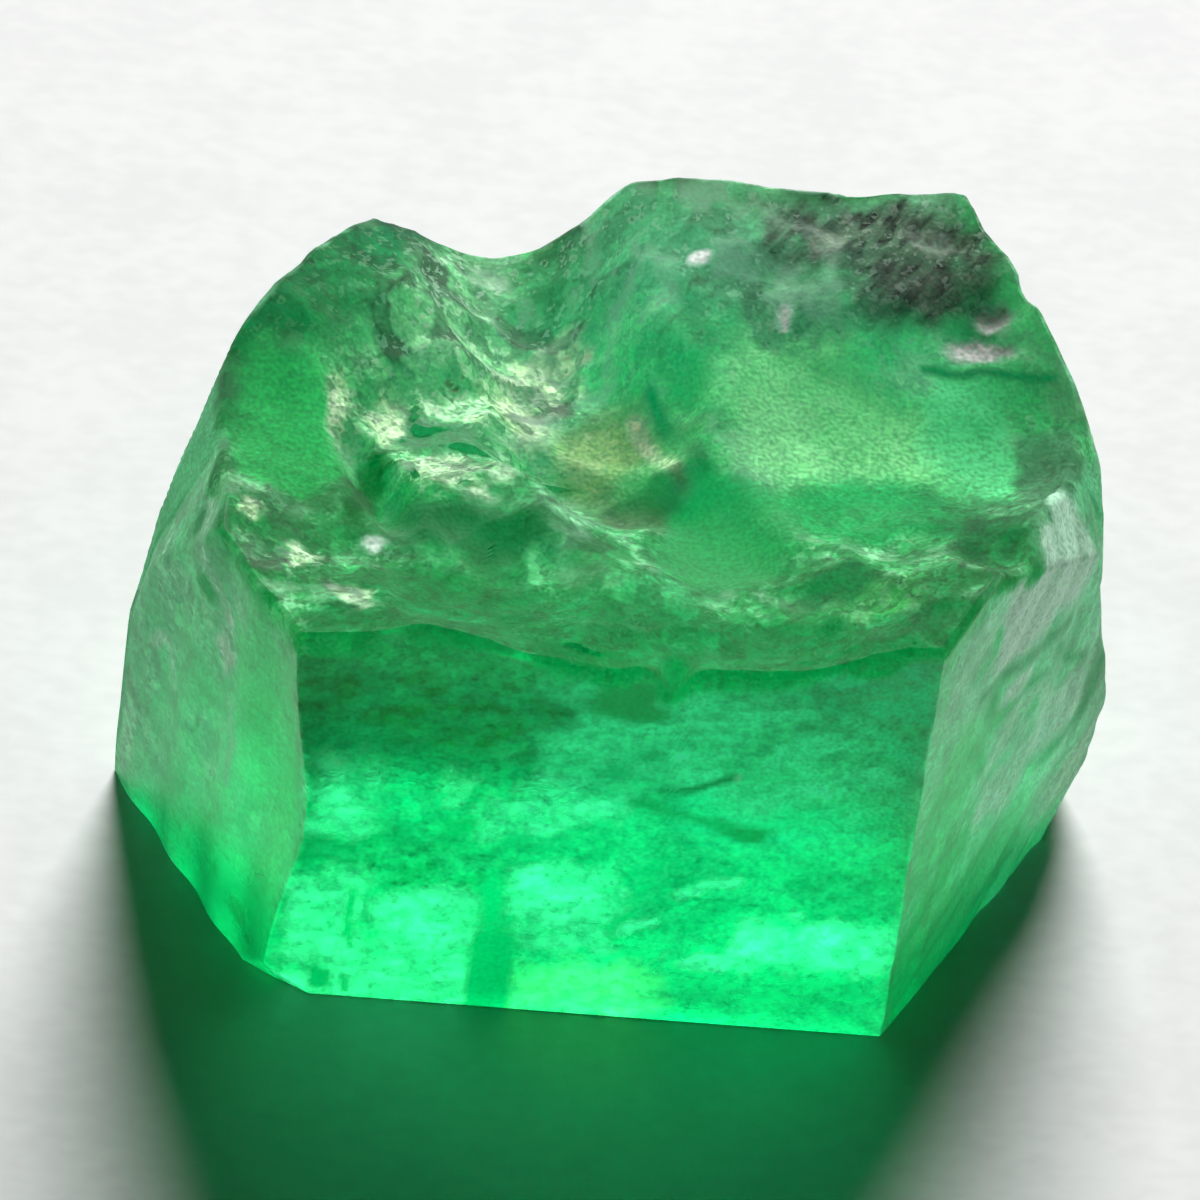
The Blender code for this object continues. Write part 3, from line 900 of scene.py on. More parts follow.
FRONT_SKIN = FaceSkin(
    Coat(0.02, 0.3, (0.002, 0.26, 0.11), 0.5, 0, 0.4),
    (
        # Broad areas: dark above, hazy on the right, brighter below. The dark above is painted shade, and the
        # brighter band below is painted glow of the light that passes through the stone.
        (Oval((-1, 6.35), (3.6, 0.5)), Coat(0.1, 0.7, (0.01, 0.38, 0.14), 0.7, 0, 0.5)),
        (Oval((-2.3, 5.3), (1.8, 0.62), turn=-4), Coat(0.03, 0.4, (0, 0.2, 0.035), 0.4, 0, 0.6)),
        (Oval((-2.2, 3.9), (1.7, 0.6), square=3), Coat(0.02, 0.3, (0.002, 0.45, 0.22), 0.6, 0, 0.6)),
        (Oval((2.3, 5.2), (1.6, 1.7)), Coat(0.04, 0.5, (0.01, 0.7, 0.48), 0.3, 0, 0.3)),
        (
            Oval((1.1, 5.1), (1.95, 0.98), turn=-9, soft=0.25, square=3),
            Coat(0.28, 0.85, (0.22, 0.92, 0.66), 0.4, 0, 0.2),
        ),
        (Oval((-2.2, 2.55), (0.9, 0.45)), Coat(0.02, 0.3, (0.002, 0.26, 0.09), 0.6, 0, 0.6)),
        (Oval((0.8, 0.75), (2.9, 0.9), square=3), Coat(0.02, 0.25, (0.005, 0.6, 0.25), 0.5, 0, 0.4)),
        # Bright, flaky blocks: painted glow of the light that passes through the stone.
        *coated(
            GLOW_FLAKES,
            Oval((-3.38, 3.7), (0.36, 0.66), soft=0.45, wobble=0.7, strength=0.75, square=3),
            Oval((-0.8, 3.8), (0.8, 0.4), turn=20, wobble=1, strength=0.35),
            Crack(((-1.5, 3.78), (-0.9, 3.7), (-0.5, 3.82)), 0.07, 0.12, 0.8),
            Crack(((-0.95, 3.35), (-0.55, 3.58), (-0.12, 3.9)), 0.06, 0.12, 0.9),
            Crack(((-1, 4.35), (-0.6, 4.15)), 0.08, 0.12, 0.7),
            Crack(((-3.5, 3.12), (-3.1, 3.1)), 0.05, 0.08),
            Oval((-2, 4.05), (0.22, 0.3), wobble=0.9, strength=0.5),
            Oval((-3.5, 1.55), (0.42, 0.75), soft=0.35, wobble=0.7, square=3),
            Oval((-2.3, 1.5), (0.72, 0.5), soft=0.3, wobble=0.6, square=3.5),
            Oval((-2.5, 0.45), (0.8, 0.55), soft=0.4, wobble=0.7, square=3),
            Oval((-3.6, 0.2), (0.35, 0.25), wobble=0.7),
            Oval((-0.58, 2.28), (0.68, 0.45), soft=0.3, wobble=0.6, square=3.5),
            Oval((-0.55, 1.45), (0.65, 0.3), wobble=1, strength=0.6),
            Oval((1.85, 1.55), (0.32, 0.38), wobble=0.8, square=3),
            Oval((2.85, 1.6), (0.6, 0.45), wobble=0.8, square=3),
            Oval((1.3, 1.15), (0.4, 0.14), wobble=0.9),
            Crack(((0.85, 2.35), (1.5, 2.65)), 0.07, 0.15, 0.6),
            Crack(((0.2, 1.55), (0.55, 1.8)), 0.05, 0.1, 0.7),
        ),
        # A yellowish bright block: painted glow as well.
        (Oval((-0.2, 0.5), (0.85, 0.45), soft=0.35, square=3), Coat(0.04, 0.2, (1, 1, 0.3), 0.3, 0, 0.6)),
        # A green web over the blocks and the glow beside them.
        (Streaks(0.5, 0.2, 14, 0.5, 0.6, 0.2, 9, 0.55), Coat(0.03, 0.3, (0.01, 0.5, 0.22), 0.4, 0, 0.4)),
        (Streaks(0.26, 0.1, 8, 0.5, 0.62, 0.1, 12, 0.6), Coat(0.03, 0.3, (0.02, 0.4, 0.2), 0.4, 0, 0.4)),
        # Dark marks: the bar, the nick under the rim, smudges, cracks and the flakes at the left edge.
        (
            Oval((-1.33, 0.1), (0.28, 1.5), soft=0.18, wobble=0.15, square=5),
            Coat(0.03, 0.3, (0, 0.24, 0.09)),
        ),
        (Oval((-1.42, 2), (0.13, 0.6), soft=0.4), Coat(0.03, 0.3, (0, 0.3, 0.12))),
        (
            Oval((-0.08, 5.82), (0.5, 0.33), turn=-8, soft=0.3, wobble=0.5, square=3),
            Coat(0.03, 0.5, (0, 0.22, 0.07)),
        ),
        (Oval((1.52, 3.58), (0.36, 0.28), wobble=0.8), Coat(0.02, 0.4, (0, 0.1, 0.03))),
        (Oval((-1.87, 3.33), (0.22, 0.16), wobble=0.9), Coat(0.03, 0.3, (0, 0.25, 0.09))),
        (Crack(((0.45, 4.24), (0.85, 4.32), (1.28, 4.58)), 0.06, 0.03), Coat(0.02, 0.4, (0, 0.1, 0.03))),
        (Crack(((0.12, 4), (0.7, 3.85), (1.3, 3.66)), 0.07, 0.05), Coat(0.02, 0.4, (0, 0.14, 0.05))),
        (Crack(((-3.1, 2), (-3.14, 1.5), (-3.05, 0.95)), 0.05, 0.05), Coat(0.03, 0.3, (0, 0.26, 0.1))),
        (Crack(((0.5, 2.9), (0.3, 2.3), (0.1, 1.5)), 0.08, 0.1, 0.7), Coat(0.03, 0.3, (0, 0.26, 0.1))),
        (Crack(((-3.85, 2.86), (-3.2, 2.78)), 0.06, 0.1), Coat(0.03, 0.3, (0, 0.14, 0.05))),
        (Crack(((-3.8, 2.6), (-3.15, 2.5)), 0.06, 0.1), Coat(0.03, 0.3, (0, 0.14, 0.05))),
        (Oval((-3.4, 0.28), (0.14, 0.2), wobble=0.9), Coat(0.03, 0.3, (0, 0.16, 0.06))),
        (Crack(((-3.12, 0.4), (-3.08, 0.1)), 0.05, 0.05), Coat(0.03, 0.3, (0, 0.2, 0.08))),
        (Oval((1.34, 4.58), (0.05, 0.05), wobble=0.2), Coat(0.7, 0.5, PALE)),
    ),
)

FRONT_RIGHT_SKIN = FaceSkin(
    Coat(0.3, 0.45, (0.22, 0.66, 0.38), 0.6),
    (
        (Streaks(0.9, 0.4, 35, 0.45, 0.62, 0.3, 4), Coat(0.14, 0.5, (0.08, 0.5, 0.22), 0.7)),
        # Pale facets.
        (
            Oval((1.15, 5.9), (1.35, 1), turn=-8, soft=0.25, wobble=0.3, square=4),
            Coat(1, 0.5, (0.54, 1, 0.68), 0.2),
        ),
        (Oval((-0.75, 5.9), (0.55, 0.95), square=3), Coat(0.55, 0.45, (0.34, 0.8, 0.5), 0.5)),
        (Oval((0.65, 4.36), (0.42, 0.16), turn=-5), Coat(0.65, 0.45, (0.55, 0.82, 0.62), 0.4)),
        (Oval((0.8, 3.5), (0.75, 0.45)), Coat(0.5, 0.45, (0.4, 0.74, 0.5), 0.7)),
        (Oval((2.1, 2.75), (0.85, 0.5), turn=-15, square=3), Coat(0.7, 0.45, (0.48, 0.9, 0.62), 0.4)),
        (Oval((0.8, 2.45), (0.85, 0.5), wobble=0.8), Coat(0.65, 0.45, (0.42, 0.85, 0.56), 0.6)),
        (Oval((2.6, 1), (0.75, 0.6), wobble=0.8), Coat(0.5, 0.5, (0.3, 0.66, 0.4), 0.6)),
        # Deep green: the lower part, the left edge and the hollows.
        (Oval((-0.7, 4), (0.6, 0.9)), Coat(0.14, 0.5, (0.08, 0.5, 0.2), 0.6)),
        (Oval((-0.1, 0.5), (1.6, 1.1), soft=0.3, wobble=0.7), Coat(0.03, 0.5, (0.004, 0.26, 0.09), 0.5)),
        (Oval((-1.2, 0.8), (0.35, 1.3)), Coat(0.02, 0.4, (0.004, 0.5, 0.18), 0.3)),
        (Oval((-0.55, 2.1), (0.42, 0.75), turn=-20, wobble=0.8), Coat(0.04, 0.5, (0.01, 0.3, 0.1), 0.6)),
        (Oval((0.5, 1.45), (0.4, 0.18), wobble=0.8), Coat(0.04, 0.5, (0.01, 0.24, 0.08), 0.6)),
        (Oval((1.3, 3.4), (0.2, 0.16), wobble=0.8), Coat(0.06, 0.5, (0.03, 0.4, 0.16), 0.5)),
        # Grooves.
        (
            Crack(((-0.35, 5.05), (0.3, 4.95), (0.75, 4.72), (1.3, 4.5), (1.95, 4.4)), 0.1, 0.08),
            Coat(0.02, 0.5, (0, 0.2, 0.08)),
        ),
        (Crack(((0.12, 4.95), (0.08, 4.45), (0.2, 4.15)), 0.12, 0.08), Coat(0.02, 0.5, (0, 0.26, 0.1))),
        (Crack(((0.1, 4.15), (1, 4), (1.5, 3.88)), 0.07, 0.06), Coat(0.03, 0.5, (0, 0.28, 0.1))),
        (Crack(((-0.32, 4.05), (-0.1, 3.8), (-0.02, 3.5)), 0.1, 0.06), Coat(0.02, 0.5, (0, 0.26, 0.1))),
        (Crack(((1.8, 4.1), (2.1, 3.6), (2.6, 3.2)), 0.07, 0.06), Coat(0.03, 0.5, (0, 0.3, 0.1))),
        (Crack(((3.1, 2.7), (2.65, 2.15), (1.7, 2.05)), 0.09, 0.08), Coat(0.03, 0.5, (0, 0.28, 0.1))),
        (Crack(((-0.12, 6.1), (-0.2, 5.7), (-0.6, 5.55)), 0.05, 0.06), Coat(0.06, 0.5, (0.05, 0.5, 0.2))),
    ),
)

BACK_RIGHT_SKIN = FaceSkin(
    Coat(0.18, 0.8, (0.25, 0.75, 0.42), 0.3, 0.05),
    ((Streaks(1.8, 0.4, 80, 0.42, 0.7, 0.4, 6), Coat(0.3, 0.8, (0.3, 0.82, 0.48), 0.3, 0.05)),),
)

BACK_SKIN = FaceSkin(
    Coat(0.12, 1, (0.72, 1, 0.84), 0.12, 0, 0.2),
    ((Streaks(1.6, 0.5, 4, 0.42, 0.7, 0.4, 7), Coat(0.22, 1, (0.42, 0.92, 0.58), 0.2, 0, 0.3)),),
)

BACK_LEFT_SKIN = FaceSkin(
    Coat(0.18, 0.8, (0.25, 0.75, 0.42), 0.3, 0.05),
    ((Streaks(1.8, 0.4, 100, 0.42, 0.7, 0.4, 16), Coat(0.3, 0.8, (0.3, 0.82, 0.48), 0.3, 0.05)),),
)

FRONT_LEFT_SKIN = FaceSkin(
    Coat(0.28, 0.5, (0.1, 0.5, 0.23), 0.7, 0.05),
    (
        (Streaks(0.9, 0.3, 95, 0.45, 0.64, 0.35, 5), Coat(0.36, 0.55, (0.28, 0.58, 0.36), 0.8, 0.1)),
        (Oval((0.9, 4.3), (0.9, 1.5)), Coat(0.12, 0.5, (0.06, 0.5, 0.2), 0.5)),
        (Oval((0.1, 6.6), (0.9, 0.5), wobble=0.8), Coat(0.04, 0.7, (0.01, 0.26, 0.09), 0.8)),
        (Oval((1.7, 5.6), (0.35, 0.8)), Coat(0.03, 0.6, (0.005, 0.28, 0.09), 0.5)),
        # The clear, glowing foot by the front edge.
        (Oval((1.35, 1.2), (1.3, 2), soft=0.5), Coat(0.02, 0.27, (0.004, 0.55, 0.2), 0.4)),
        (Oval((-0.1, 0), (1.8, 1.15), turn=8, soft=0.5), Coat(0.02, 0.27, (0.004, 0.5, 0.18), 0.4)),
        (Oval((0.72, 0.6), (0.2, 0.2), wobble=0.8), Coat(0.03, 0.4, (0.004, 0.3, 0.08), 0.4)),
        # Pale arcs and flecks, with dark spots between them.
        (
            Crack(((-1.5, 5.7), (-1.35, 6.4), (-1.15, 6.95), (-0.85, 7.15)), 0.1, 0.08),
            Coat(0.6, 0.6, (0.45, 0.68, 0.5), 0.7, 0.1),
        ),
        (
            Crack(((-1.3, 5.95), (-0.8, 5.6), (-0.3, 5.2), (-0.05, 4.7)), 0.09, 0.1),
            Coat(0.5, 0.6, (0.42, 0.66, 0.48), 0.7, 0.1),
        ),
        (Oval((-0.22, 4.65), (0.26, 0.45), wobble=0.8), Coat(0.55, 0.6, (0.5, 0.74, 0.55), 0.9, 0.3)),
        (Oval((-1.35, 4.6), (0.4, 0.35), wobble=0.9), Coat(0.4, 0.6, (0.3, 0.58, 0.36), 0.8, 0.1)),
        (
            Crack(((-1.85, 3.1), (-1.65, 3.45), (-1.45, 3.4), (-1.3, 2.8)), 0.07, 0.06),
            Coat(0.55, 0.6, (0.5, 0.74, 0.55), 0.6),
        ),
        (Oval((-1.45, 5.65), (0.16, 0.2)), Coat(0.05, 0.7, (0.01, 0.22, 0.08))),
        (Oval((-0.75, 5.25), (0.26, 0.16), wobble=0.8), Coat(0.05, 0.7, (0.02, 0.26, 0.1))),
        (Crack(((0, 3.9), (0.15, 3.3), (0.1, 2.6)), 0.06, 0.08), Coat(0.5, 0.6, (0.45, 0.7, 0.5))),
    ),
)

WALL_SKINS: dict[Face, FaceSkin] = {
    Face.FRONT: FRONT_SKIN,
    Face.FRONT_RIGHT: FRONT_RIGHT_SKIN,
    Face.BACK_RIGHT: BACK_RIGHT_SKIN,
    Face.BACK: BACK_SKIN,
    Face.BACK_LEFT: BACK_LEFT_SKIN,
    Face.FRONT_LEFT: FRONT_LEFT_SKIN,
}

UNDER_SKIN = FaceSkin(
    Coat(0.05, 0.52, (0.85, 1, 0.9), 0, 0.1),
    (
        (Oval((-2.7, -2.2), (1.2, 1.7), square=4), Coat(0.05, 0.38, CLEAR, 0, 0.1)),
        (Oval((-0.5, 0.4), (0.8, 0.9), square=4), Coat(0.05, 0.37, CLEAR, 0, 0.1)),
        (Oval((2.7, -1), (1.1, 1), square=4), Coat(0.05, 0.36, CLEAR, 0, 0.1)),
        (Oval((-0.2, -3), (0.9, 0.9)), Coat(0.05, 0.4, CLEAR, 0, 0.1)),
        (Oval((-3, 3), (0.8, 1.2)), Coat(0.05, 0.4, CLEAR, 0, 0.1)),
    ),
)


@dataclass(frozen=True)
class Skin:
    """The whole skin: the top, the six faces, the underside, and how they run into each other."""

    top: FaceSkin = TOP_SKIN
    walls: dict[Face, FaceSkin] = field(default_factory=lambda: WALL_SKINS)
    under: FaceSkin = UNDER_SKIN
    edge_soft: float = 0.05
    edge_wobble: float = 0.22
    rim_depth: float = 0.2
    rim_wobble: float = 0.45
    rim_cell: float = 0.7
    rim_fade: float = 0.12
    under_shades: Pair = (0.55, 0.45)
    under_blotches: Pair = (0.3, 0.6)
    under_cell: float = 1.3
    speck_cell: float = 0.42
    speck_blotches: Pair = (0.58, 0.7)
    least_rough: float = 0.02

    def wall_values(self, surface: StoneSurface, form: StoneForm) -> Array:
        """The walls' rows of values: each face's own, mixed near the corners.

        Args:
            surface: the places.
            form: the form that says which face each place lies on.

        Returns:
            A row for each point. A face's share falls off with how much nearer the next face is.
        """
        height = surface.points[..., 2]
        away, rows = [], []
        for number, side in enumerate(form.faces):
            turn = surface.angles - math.radians(side.direction)
            facing = np.maximum(np.cos(turn), form.least_facing)
            along = side.distance * np.sin(turn) / facing + 0.0 * height
            noise = cloudy(along + 9.0 * number, height, 0.6, 3.0 + number)
            away.append(side.distance / facing + self.edge_wobble * (noise - 0.5))
            rows.append(self.walls[side.face].values(along, height))
        away = np.stack(away)
        share = np.exp(-(away - away.min(axis=0)) / self.edge_soft)
        share = share / share.sum(axis=0)
        return sum(part[..., None] * row for part, row in zip(share, rows))

    def values(self, surface: StoneSurface, form: StoneForm) -> dict[str, Array]:
        """Works out the skin.

        Args:
            surface: the places.
            form: the form that says which face each wall place lies on.

        Returns:
            The mesh's attributes by name: a number or a colour for each point.
        """
        x, y, z = (surface.points[..., axis] for axis in range(3))
        zone = surface.zones[:, None]
        rim = z[zone[:, 0] == Zone.WALL.value][-1]
        top = self.top.values(x, y)
        wobble = 2.0 * cloudy(5.0 * surface.angles + 0.0 * z, z, self.rim_cell, 4.0) - 1.0
        creep = self.rim_depth + self.rim_wobble * wobble
        frosted = smooth_step(-self.rim_fade, self.rim_fade, z - rim + creep)[..., None]
        wall = self.wall_values(surface, form)
        wall = wall + (top - wall) * frosted
        under = self.under.values(x, y)
        dark, light = self.under_shades
        blotches = smooth_step(*self.under_blotches, cloudy(x, y, self.under_cell, 12.0))
        under[..., TINT] *= dark + light * blotches[..., None]
        values = np.where(zone[..., None] == Zone.TOP.value, top, wall)
        values = np.where(zone[..., None] == Zone.UNDERSIDE.value, under, values)
        values = np.clip(values, 0.0, 1.0)
        # Specks where the skin has glint: painted glints.
        speckle = smooth_step(*self.speck_blotches, cloudy(x + 0.7 * z, y - 0.7 * z, self.speck_cell, 41.0))
        return {
            "speck": speckle * values[..., GLINT],
            "frost": values[..., FROST],
            "rough": np.maximum(values[..., ROUGH], self.least_rough),
            "glint": values[..., GLINT],
            "streaky": values[..., STREAKY],
            "grainy": values[..., GRAINY],
            "tint": values[..., TINT],
        }


@dataclass
class EmeraldCrystal:
    """The crystal itself: one closed surface that stands for the construction script's solid."""

    form: StoneForm = StoneForm()
    grid: StoneGrid = StoneGrid()
    skin: Skin = field(default_factory=Skin)
    sharp_angle: float = 38.0

    def surface(self) -> StoneSurface:
        """Works out the surface.

        Each place is a function of the column's angle and the row's share. Under the stone the share scales
        the foot's reach at height 0. On the wall it scales the rim's height, and the reach follows. On top
        it scales the rim's reach, and the height follows.

        Returns:
            The points, the zone of each row and the direction of each column.
        """
        form, grid = self.form, self.grid
        angle = grid.angles(form)[None, :]
        rim_reach, rim_height = grid.rim(form, angle)
        under = np.linspace(0.0, 1.0, grid.underside_rows, endpoint=False)[1:, None]
        wall = 0.5 - 0.5 * np.cos(math.pi * np.linspace(0.0, 1.0, grid.wall_rows))
        even, eased = grid.wall_spacing
        wall = (even * np.linspace(0.0, 1.0, grid.wall_rows) + eased * wall)[:, None]
        top = 1.0 - np.linspace(0.0, 1.0, grid.top_rows + 1)[1:-1, None] ** grid.top_spacing

        foot = form.wall_reach(angle, np.zeros(angle.shape))
        under_reach = under * foot
        wall_height = wall * rim_height
        radius = grid.rim_round * (0.6 + 0.8 * cloudy(np.cos(angle), np.sin(angle), 0.15, 91.0))
        bend = np.clip(1.0 + (wall_height - rim_height) / radius, 0.0, 1.0)
        rounding = radius * (1.0 - np.sqrt(1.0 - grid.least_slope * bend**2))
        wall_reach = form.wall_reach(angle + 0.0 * wall, wall_height) - rounding
        inner = wall_reach[-1:]
        top_reach = top * inner
        x, y = top_reach * np.cos(angle), top_reach * np.sin(angle)
        top_height = form.top_height(x, y)
        at_rim = form.top_height(inner * np.cos(angle), inner * np.sin(angle))
        top_height += (rim_height - at_rim) * top**30

        reach = np.vstack([under_reach, wall_reach, top_reach])
        height = np.vstack([0.0 * under_reach, wall_height, top_height])
        points = np.stack([reach * np.cos(angle), reach * np.sin(angle), height], axis=-1)
        zones = np.concatenate(
            [
                np.full(len(under), Zone.UNDERSIDE.value),
                np.full(len(wall), Zone.WALL.value),
                np.full(len(top), Zone.TOP.value),
            ]
        )
        return StoneSurface(points, zones, angle)

    def mesh(self, surface: StoneSurface) -> bpy.types.Mesh:
        """Joins the rows into quads and closes both poles with fans.

        Args:
            surface: the rows of points in mm.

        Returns:
            A closed mesh in metres, sized to the construction script's solid.
        """
        rows, columns, _ = surface.points.shape
        low_pole = np.array([[0.0, 0.0, 0.0]])
        middle = self.form.top_height(np.zeros(1), np.zeros(1))
        top_pole = np.array([[0.0, 0.0, float(middle[0])]])
        points = np.vstack([surface.points.reshape(-1, 3), low_pole, top_pole])
        points = self.fitted(points)

        here = np.arange(columns)
        nearby = (here + 1) % columns
        row = np.arange(rows - 1)[:, None] * columns
        quads = np.stack([row + here, row + nearby, row + columns + nearby, row + columns + here], axis=-1)
        low, high = rows * columns, rows * columns + 1
        last = (rows - 1) * columns
        low_fan = np.stack([nearby, here, np.full(columns, low)], axis=-1)
        top_fan = np.stack([last + here, last + nearby, np.full(columns, high)], axis=-1)
        corners = np.concatenate([quads.reshape(-1), low_fan.reshape(-1), top_fan.reshape(-1)])
        sizes = np.concatenate([np.full(quads.shape[0] * columns, 4), np.full(2 * columns, 3)])

        mesh = bpy.data.meshes.new("emerald_surface")
        mesh.vertices.add(len(points))
        mesh.vertices.foreach_set("co", points.astype(np.float32).ravel())
        mesh.loops.add(len(corners))
        mesh.loops.foreach_set("vertex_index", corners.astype(np.int32))
        mesh.polygons.add(len(sizes))
        starts = np.concatenate([[0], np.cumsum(sizes)[:-1]])
        mesh.polygons.foreach_set("loop_start", starts.astype(np.int32))
        mesh.polygons.foreach_set("use_smooth", np.ones(len(sizes), bool))
        mesh.update(calc_edges=True)
        mesh.set_sharp_from_angle(angle=math.radians(self.sharp_angle))
        return mesh

    def fitted(self, points: Array) -> Array:
        """Moves and sizes points to fill the construction script's box.

        Args:
            points: the points in mm.

        Returns:
            The points in metres.
        """
        low, high = points.min(axis=0), points.max(axis=0)
        box_low, box_high = (np.array(corner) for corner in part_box(NODE))
        scale = (box_high - box_low) / (high - low)
        return box_low + (points - low) * scale

    def dress(self, mesh: bpy.types.Mesh, surface: StoneSurface) -> None:
        """Gives each point of the mesh its skin values. The poles take those of the nearest row.

        Args:
            mesh: the crystal's mesh.
            surface: the places that its points were made from.
        """
        for name, values in self.skin.values(surface, self.form).items():
            wide = values.ndim == 3
            flat = values.reshape(-1, 3) if wide else values.reshape(-1, 1)
            flat = np.vstack([flat, flat[:1], flat[-1:]])
            layer = mesh.attributes.new(name, "FLOAT_COLOR" if wide else "FLOAT", "POINT")
            if wide:
                flat = np.hstack([flat, np.ones((len(flat), 1))])
                layer.data.foreach_set("color", flat.astype(np.float32).ravel())
            else:
                layer.data.foreach_set("value", flat.astype(np.float32).ravel())

    def build(self) -> bpy.types.Object:
        """Makes the crystal's object, which replaces the plain solid.

        Returns:
            The finished object.
        """
        surface = self.surface()
        mesh = self.mesh(surface)
        self.dress(mesh, surface)
        mesh.materials.append(EmeraldFinish().material())
        crystal = bpy.data.objects.new("raw_emerald_crystal", mesh)
        bpy.context.scene.collection.objects.link(crystal)
        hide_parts(NODE)
        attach(crystal, "root")
        return crystal


# ---------------------------------------------------------------- finishes


@dataclass
class NodeSheet:
    """A material's node tree, with short ways to add nodes and join them."""

    material: bpy.types.Material

    def __post_init__(self) -> None:
        """Turns the nodes on."""
        self.material.use_nodes = True

    @property
    def tree(self) -> bpy.types.NodeTree:
        """The node tree."""
        return self.material.node_tree

    @property
    def shader(self) -> bpy.types.Node:
        """The Principled shader."""
        return self.tree.nodes["Principled BSDF"]

    def join(self, source: bpy.types.NodeSocket, target: bpy.types.NodeSocket) -> None:
        """Links two sockets."""
        self.tree.links.new(source, target)

    def attribute(self, name: str, output: str = "Fac") -> bpy.types.NodeSocket:
        """A point value of the mesh, or with the output Color a point colour.

        Args:
            name: the attribute's name.
            output: which output of the node is used.

        Returns:
            The value or colour as a socket.
        """
        node = self.tree.nodes.new("ShaderNodeAttribute")
        node.attribute_name = name
        return node.outputs[output]

    def places(
        self, stretch: Triple = (1.0, 1.0, 1.0), turn: float = 0.0
    ) -> bpy.types.NodeSocket:
        """Object coordinates in mm.

        Args:
            stretch: how many units of the texture go to each mm along the axes.
            turn: degrees by which the texture's axes are turned about the upright axis.

        Returns:
            The places as a vector socket.
        """
        coordinates = self.tree.nodes.new("ShaderNodeTexCoord")
        mapping = self.tree.nodes.new("ShaderNodeMapping")
        mapping.vector_type = "TEXTURE"
        mapping.inputs["Rotation"].default_value = (0.0, 0.0, -math.radians(turn))
        mapping.inputs["Scale"].default_value = tuple(MM / s for s in stretch)
        self.join(coordinates.outputs["Object"], mapping.inputs["Vector"])
        return mapping.outputs["Vector"]

    def noise(self, places: bpy.types.NodeSocket, scale: float, detail: float = 3.0) -> bpy.types.NodeSocket:
        """Blotches.

        Args:
            places: where they are read.
            scale: how many there are to the unit.
            detail: how many finer layers are added.

        Returns:
            A number from 0 to 1.
        """
        node = self.tree.nodes.new("ShaderNodeTexNoise")
        node.inputs["Scale"].default_value = scale
        node.inputs["Detail"].default_value = detail
        self.join(places, node.inputs["Vector"])
        return node.outputs["Fac"]

    def crystals(self, places: bpy.types.NodeSocket, scale: float) -> tuple[bpy.types.NodeSocket, ...]:
        """Packed grains.

        Args:
            places: where they are read.
            scale: how many there are to the unit.

        Returns:
            Two numbers from 0 to 1 for each grain.
        """
        node = self.tree.nodes.new("ShaderNodeTexVoronoi")
        node.inputs["Scale"].default_value = scale
        self.join(places, node.inputs["Vector"])
        split = self.tree.nodes.new("ShaderNodeSeparateColor")
        self.join(node.outputs["Color"], split.inputs["Color"])
        return split.outputs["Red"], split.outputs["Green"]

    def math(
        self, operation: str, *terms: bpy.types.NodeSocket | float, clamp: bool = False
    ) -> bpy.types.NodeSocket:
        """A sum, product or other operation.

        Args:
            operation: the Math node's operation.
            terms: sockets and numbers, in the node's order.
            clamp: whether the result is kept from 0 to 1.

        Returns:
            The result.
        """
        node = self.tree.nodes.new("ShaderNodeMath")
        node.operation = operation
        node.use_clamp = clamp
        for socket, term in zip(node.inputs, terms):
            if isinstance(term, bpy.types.NodeSocket):
                self.join(term, socket)
            else:
                socket.default_value = term
        return node.outputs["Value"]

    def ramp(self, value: bpy.types.NodeSocket, low: float, high: float) -> bpy.types.NodeSocket:
        """Eases a value from 0 at low to 1 at high.

        Args:
            value: the value.
            low: where it is 0.
            high: where it is 1.

        Returns:
            A number from 0 to 1.
        """
        node = self.tree.nodes.new("ShaderNodeMapRange")
        node.interpolation_type = "SMOOTHSTEP"
        node.inputs["From Min"].default_value = low
        node.inputs["From Max"].default_value = high
        self.join(value, node.inputs["Value"])
        return node.outputs["Result"]

    def mix(
        self,
        share: bpy.types.NodeSocket,
        low: bpy.types.NodeSocket | Colour,
        high: bpy.types.NodeSocket | Colour,
    ) -> bpy.types.NodeSocket:
        """Mixes two colours.

        Args:
            share: how much of the second colour there is, from 0 to 1.
            low, high: the two colours.

        Returns:
            The mixed colour.
        """
        node = self.tree.nodes.new("ShaderNodeMix")
        node.data_type = "RGBA"
        self.join(share, node.inputs["Factor"])
        sockets = [socket for socket in node.inputs if socket.type == "RGBA"]
        for socket, colour in zip(sockets, (low, high)):
            if isinstance(colour, bpy.types.NodeSocket):
                self.join(colour, socket)
            else:
                socket.default_value = (*colour, 1.0)
        return next(socket for socket in node.outputs if socket.type == "RGBA")

    def scaled(self, colour: bpy.types.NodeSocket, share: bpy.types.NodeSocket) -> bpy.types.NodeSocket:
        """Dims or brightens a colour.

        Args:
            colour: the colour.
            share: the number that it is multiplied by.

        Returns:
            The new colour.
        """
        node = self.tree.nodes.new("ShaderNodeVectorMath")
        node.operation = "SCALE"
        self.join(colour, node.inputs[0])
        self.join(share, node.inputs["Scale"])
        return node.outputs["Vector"]


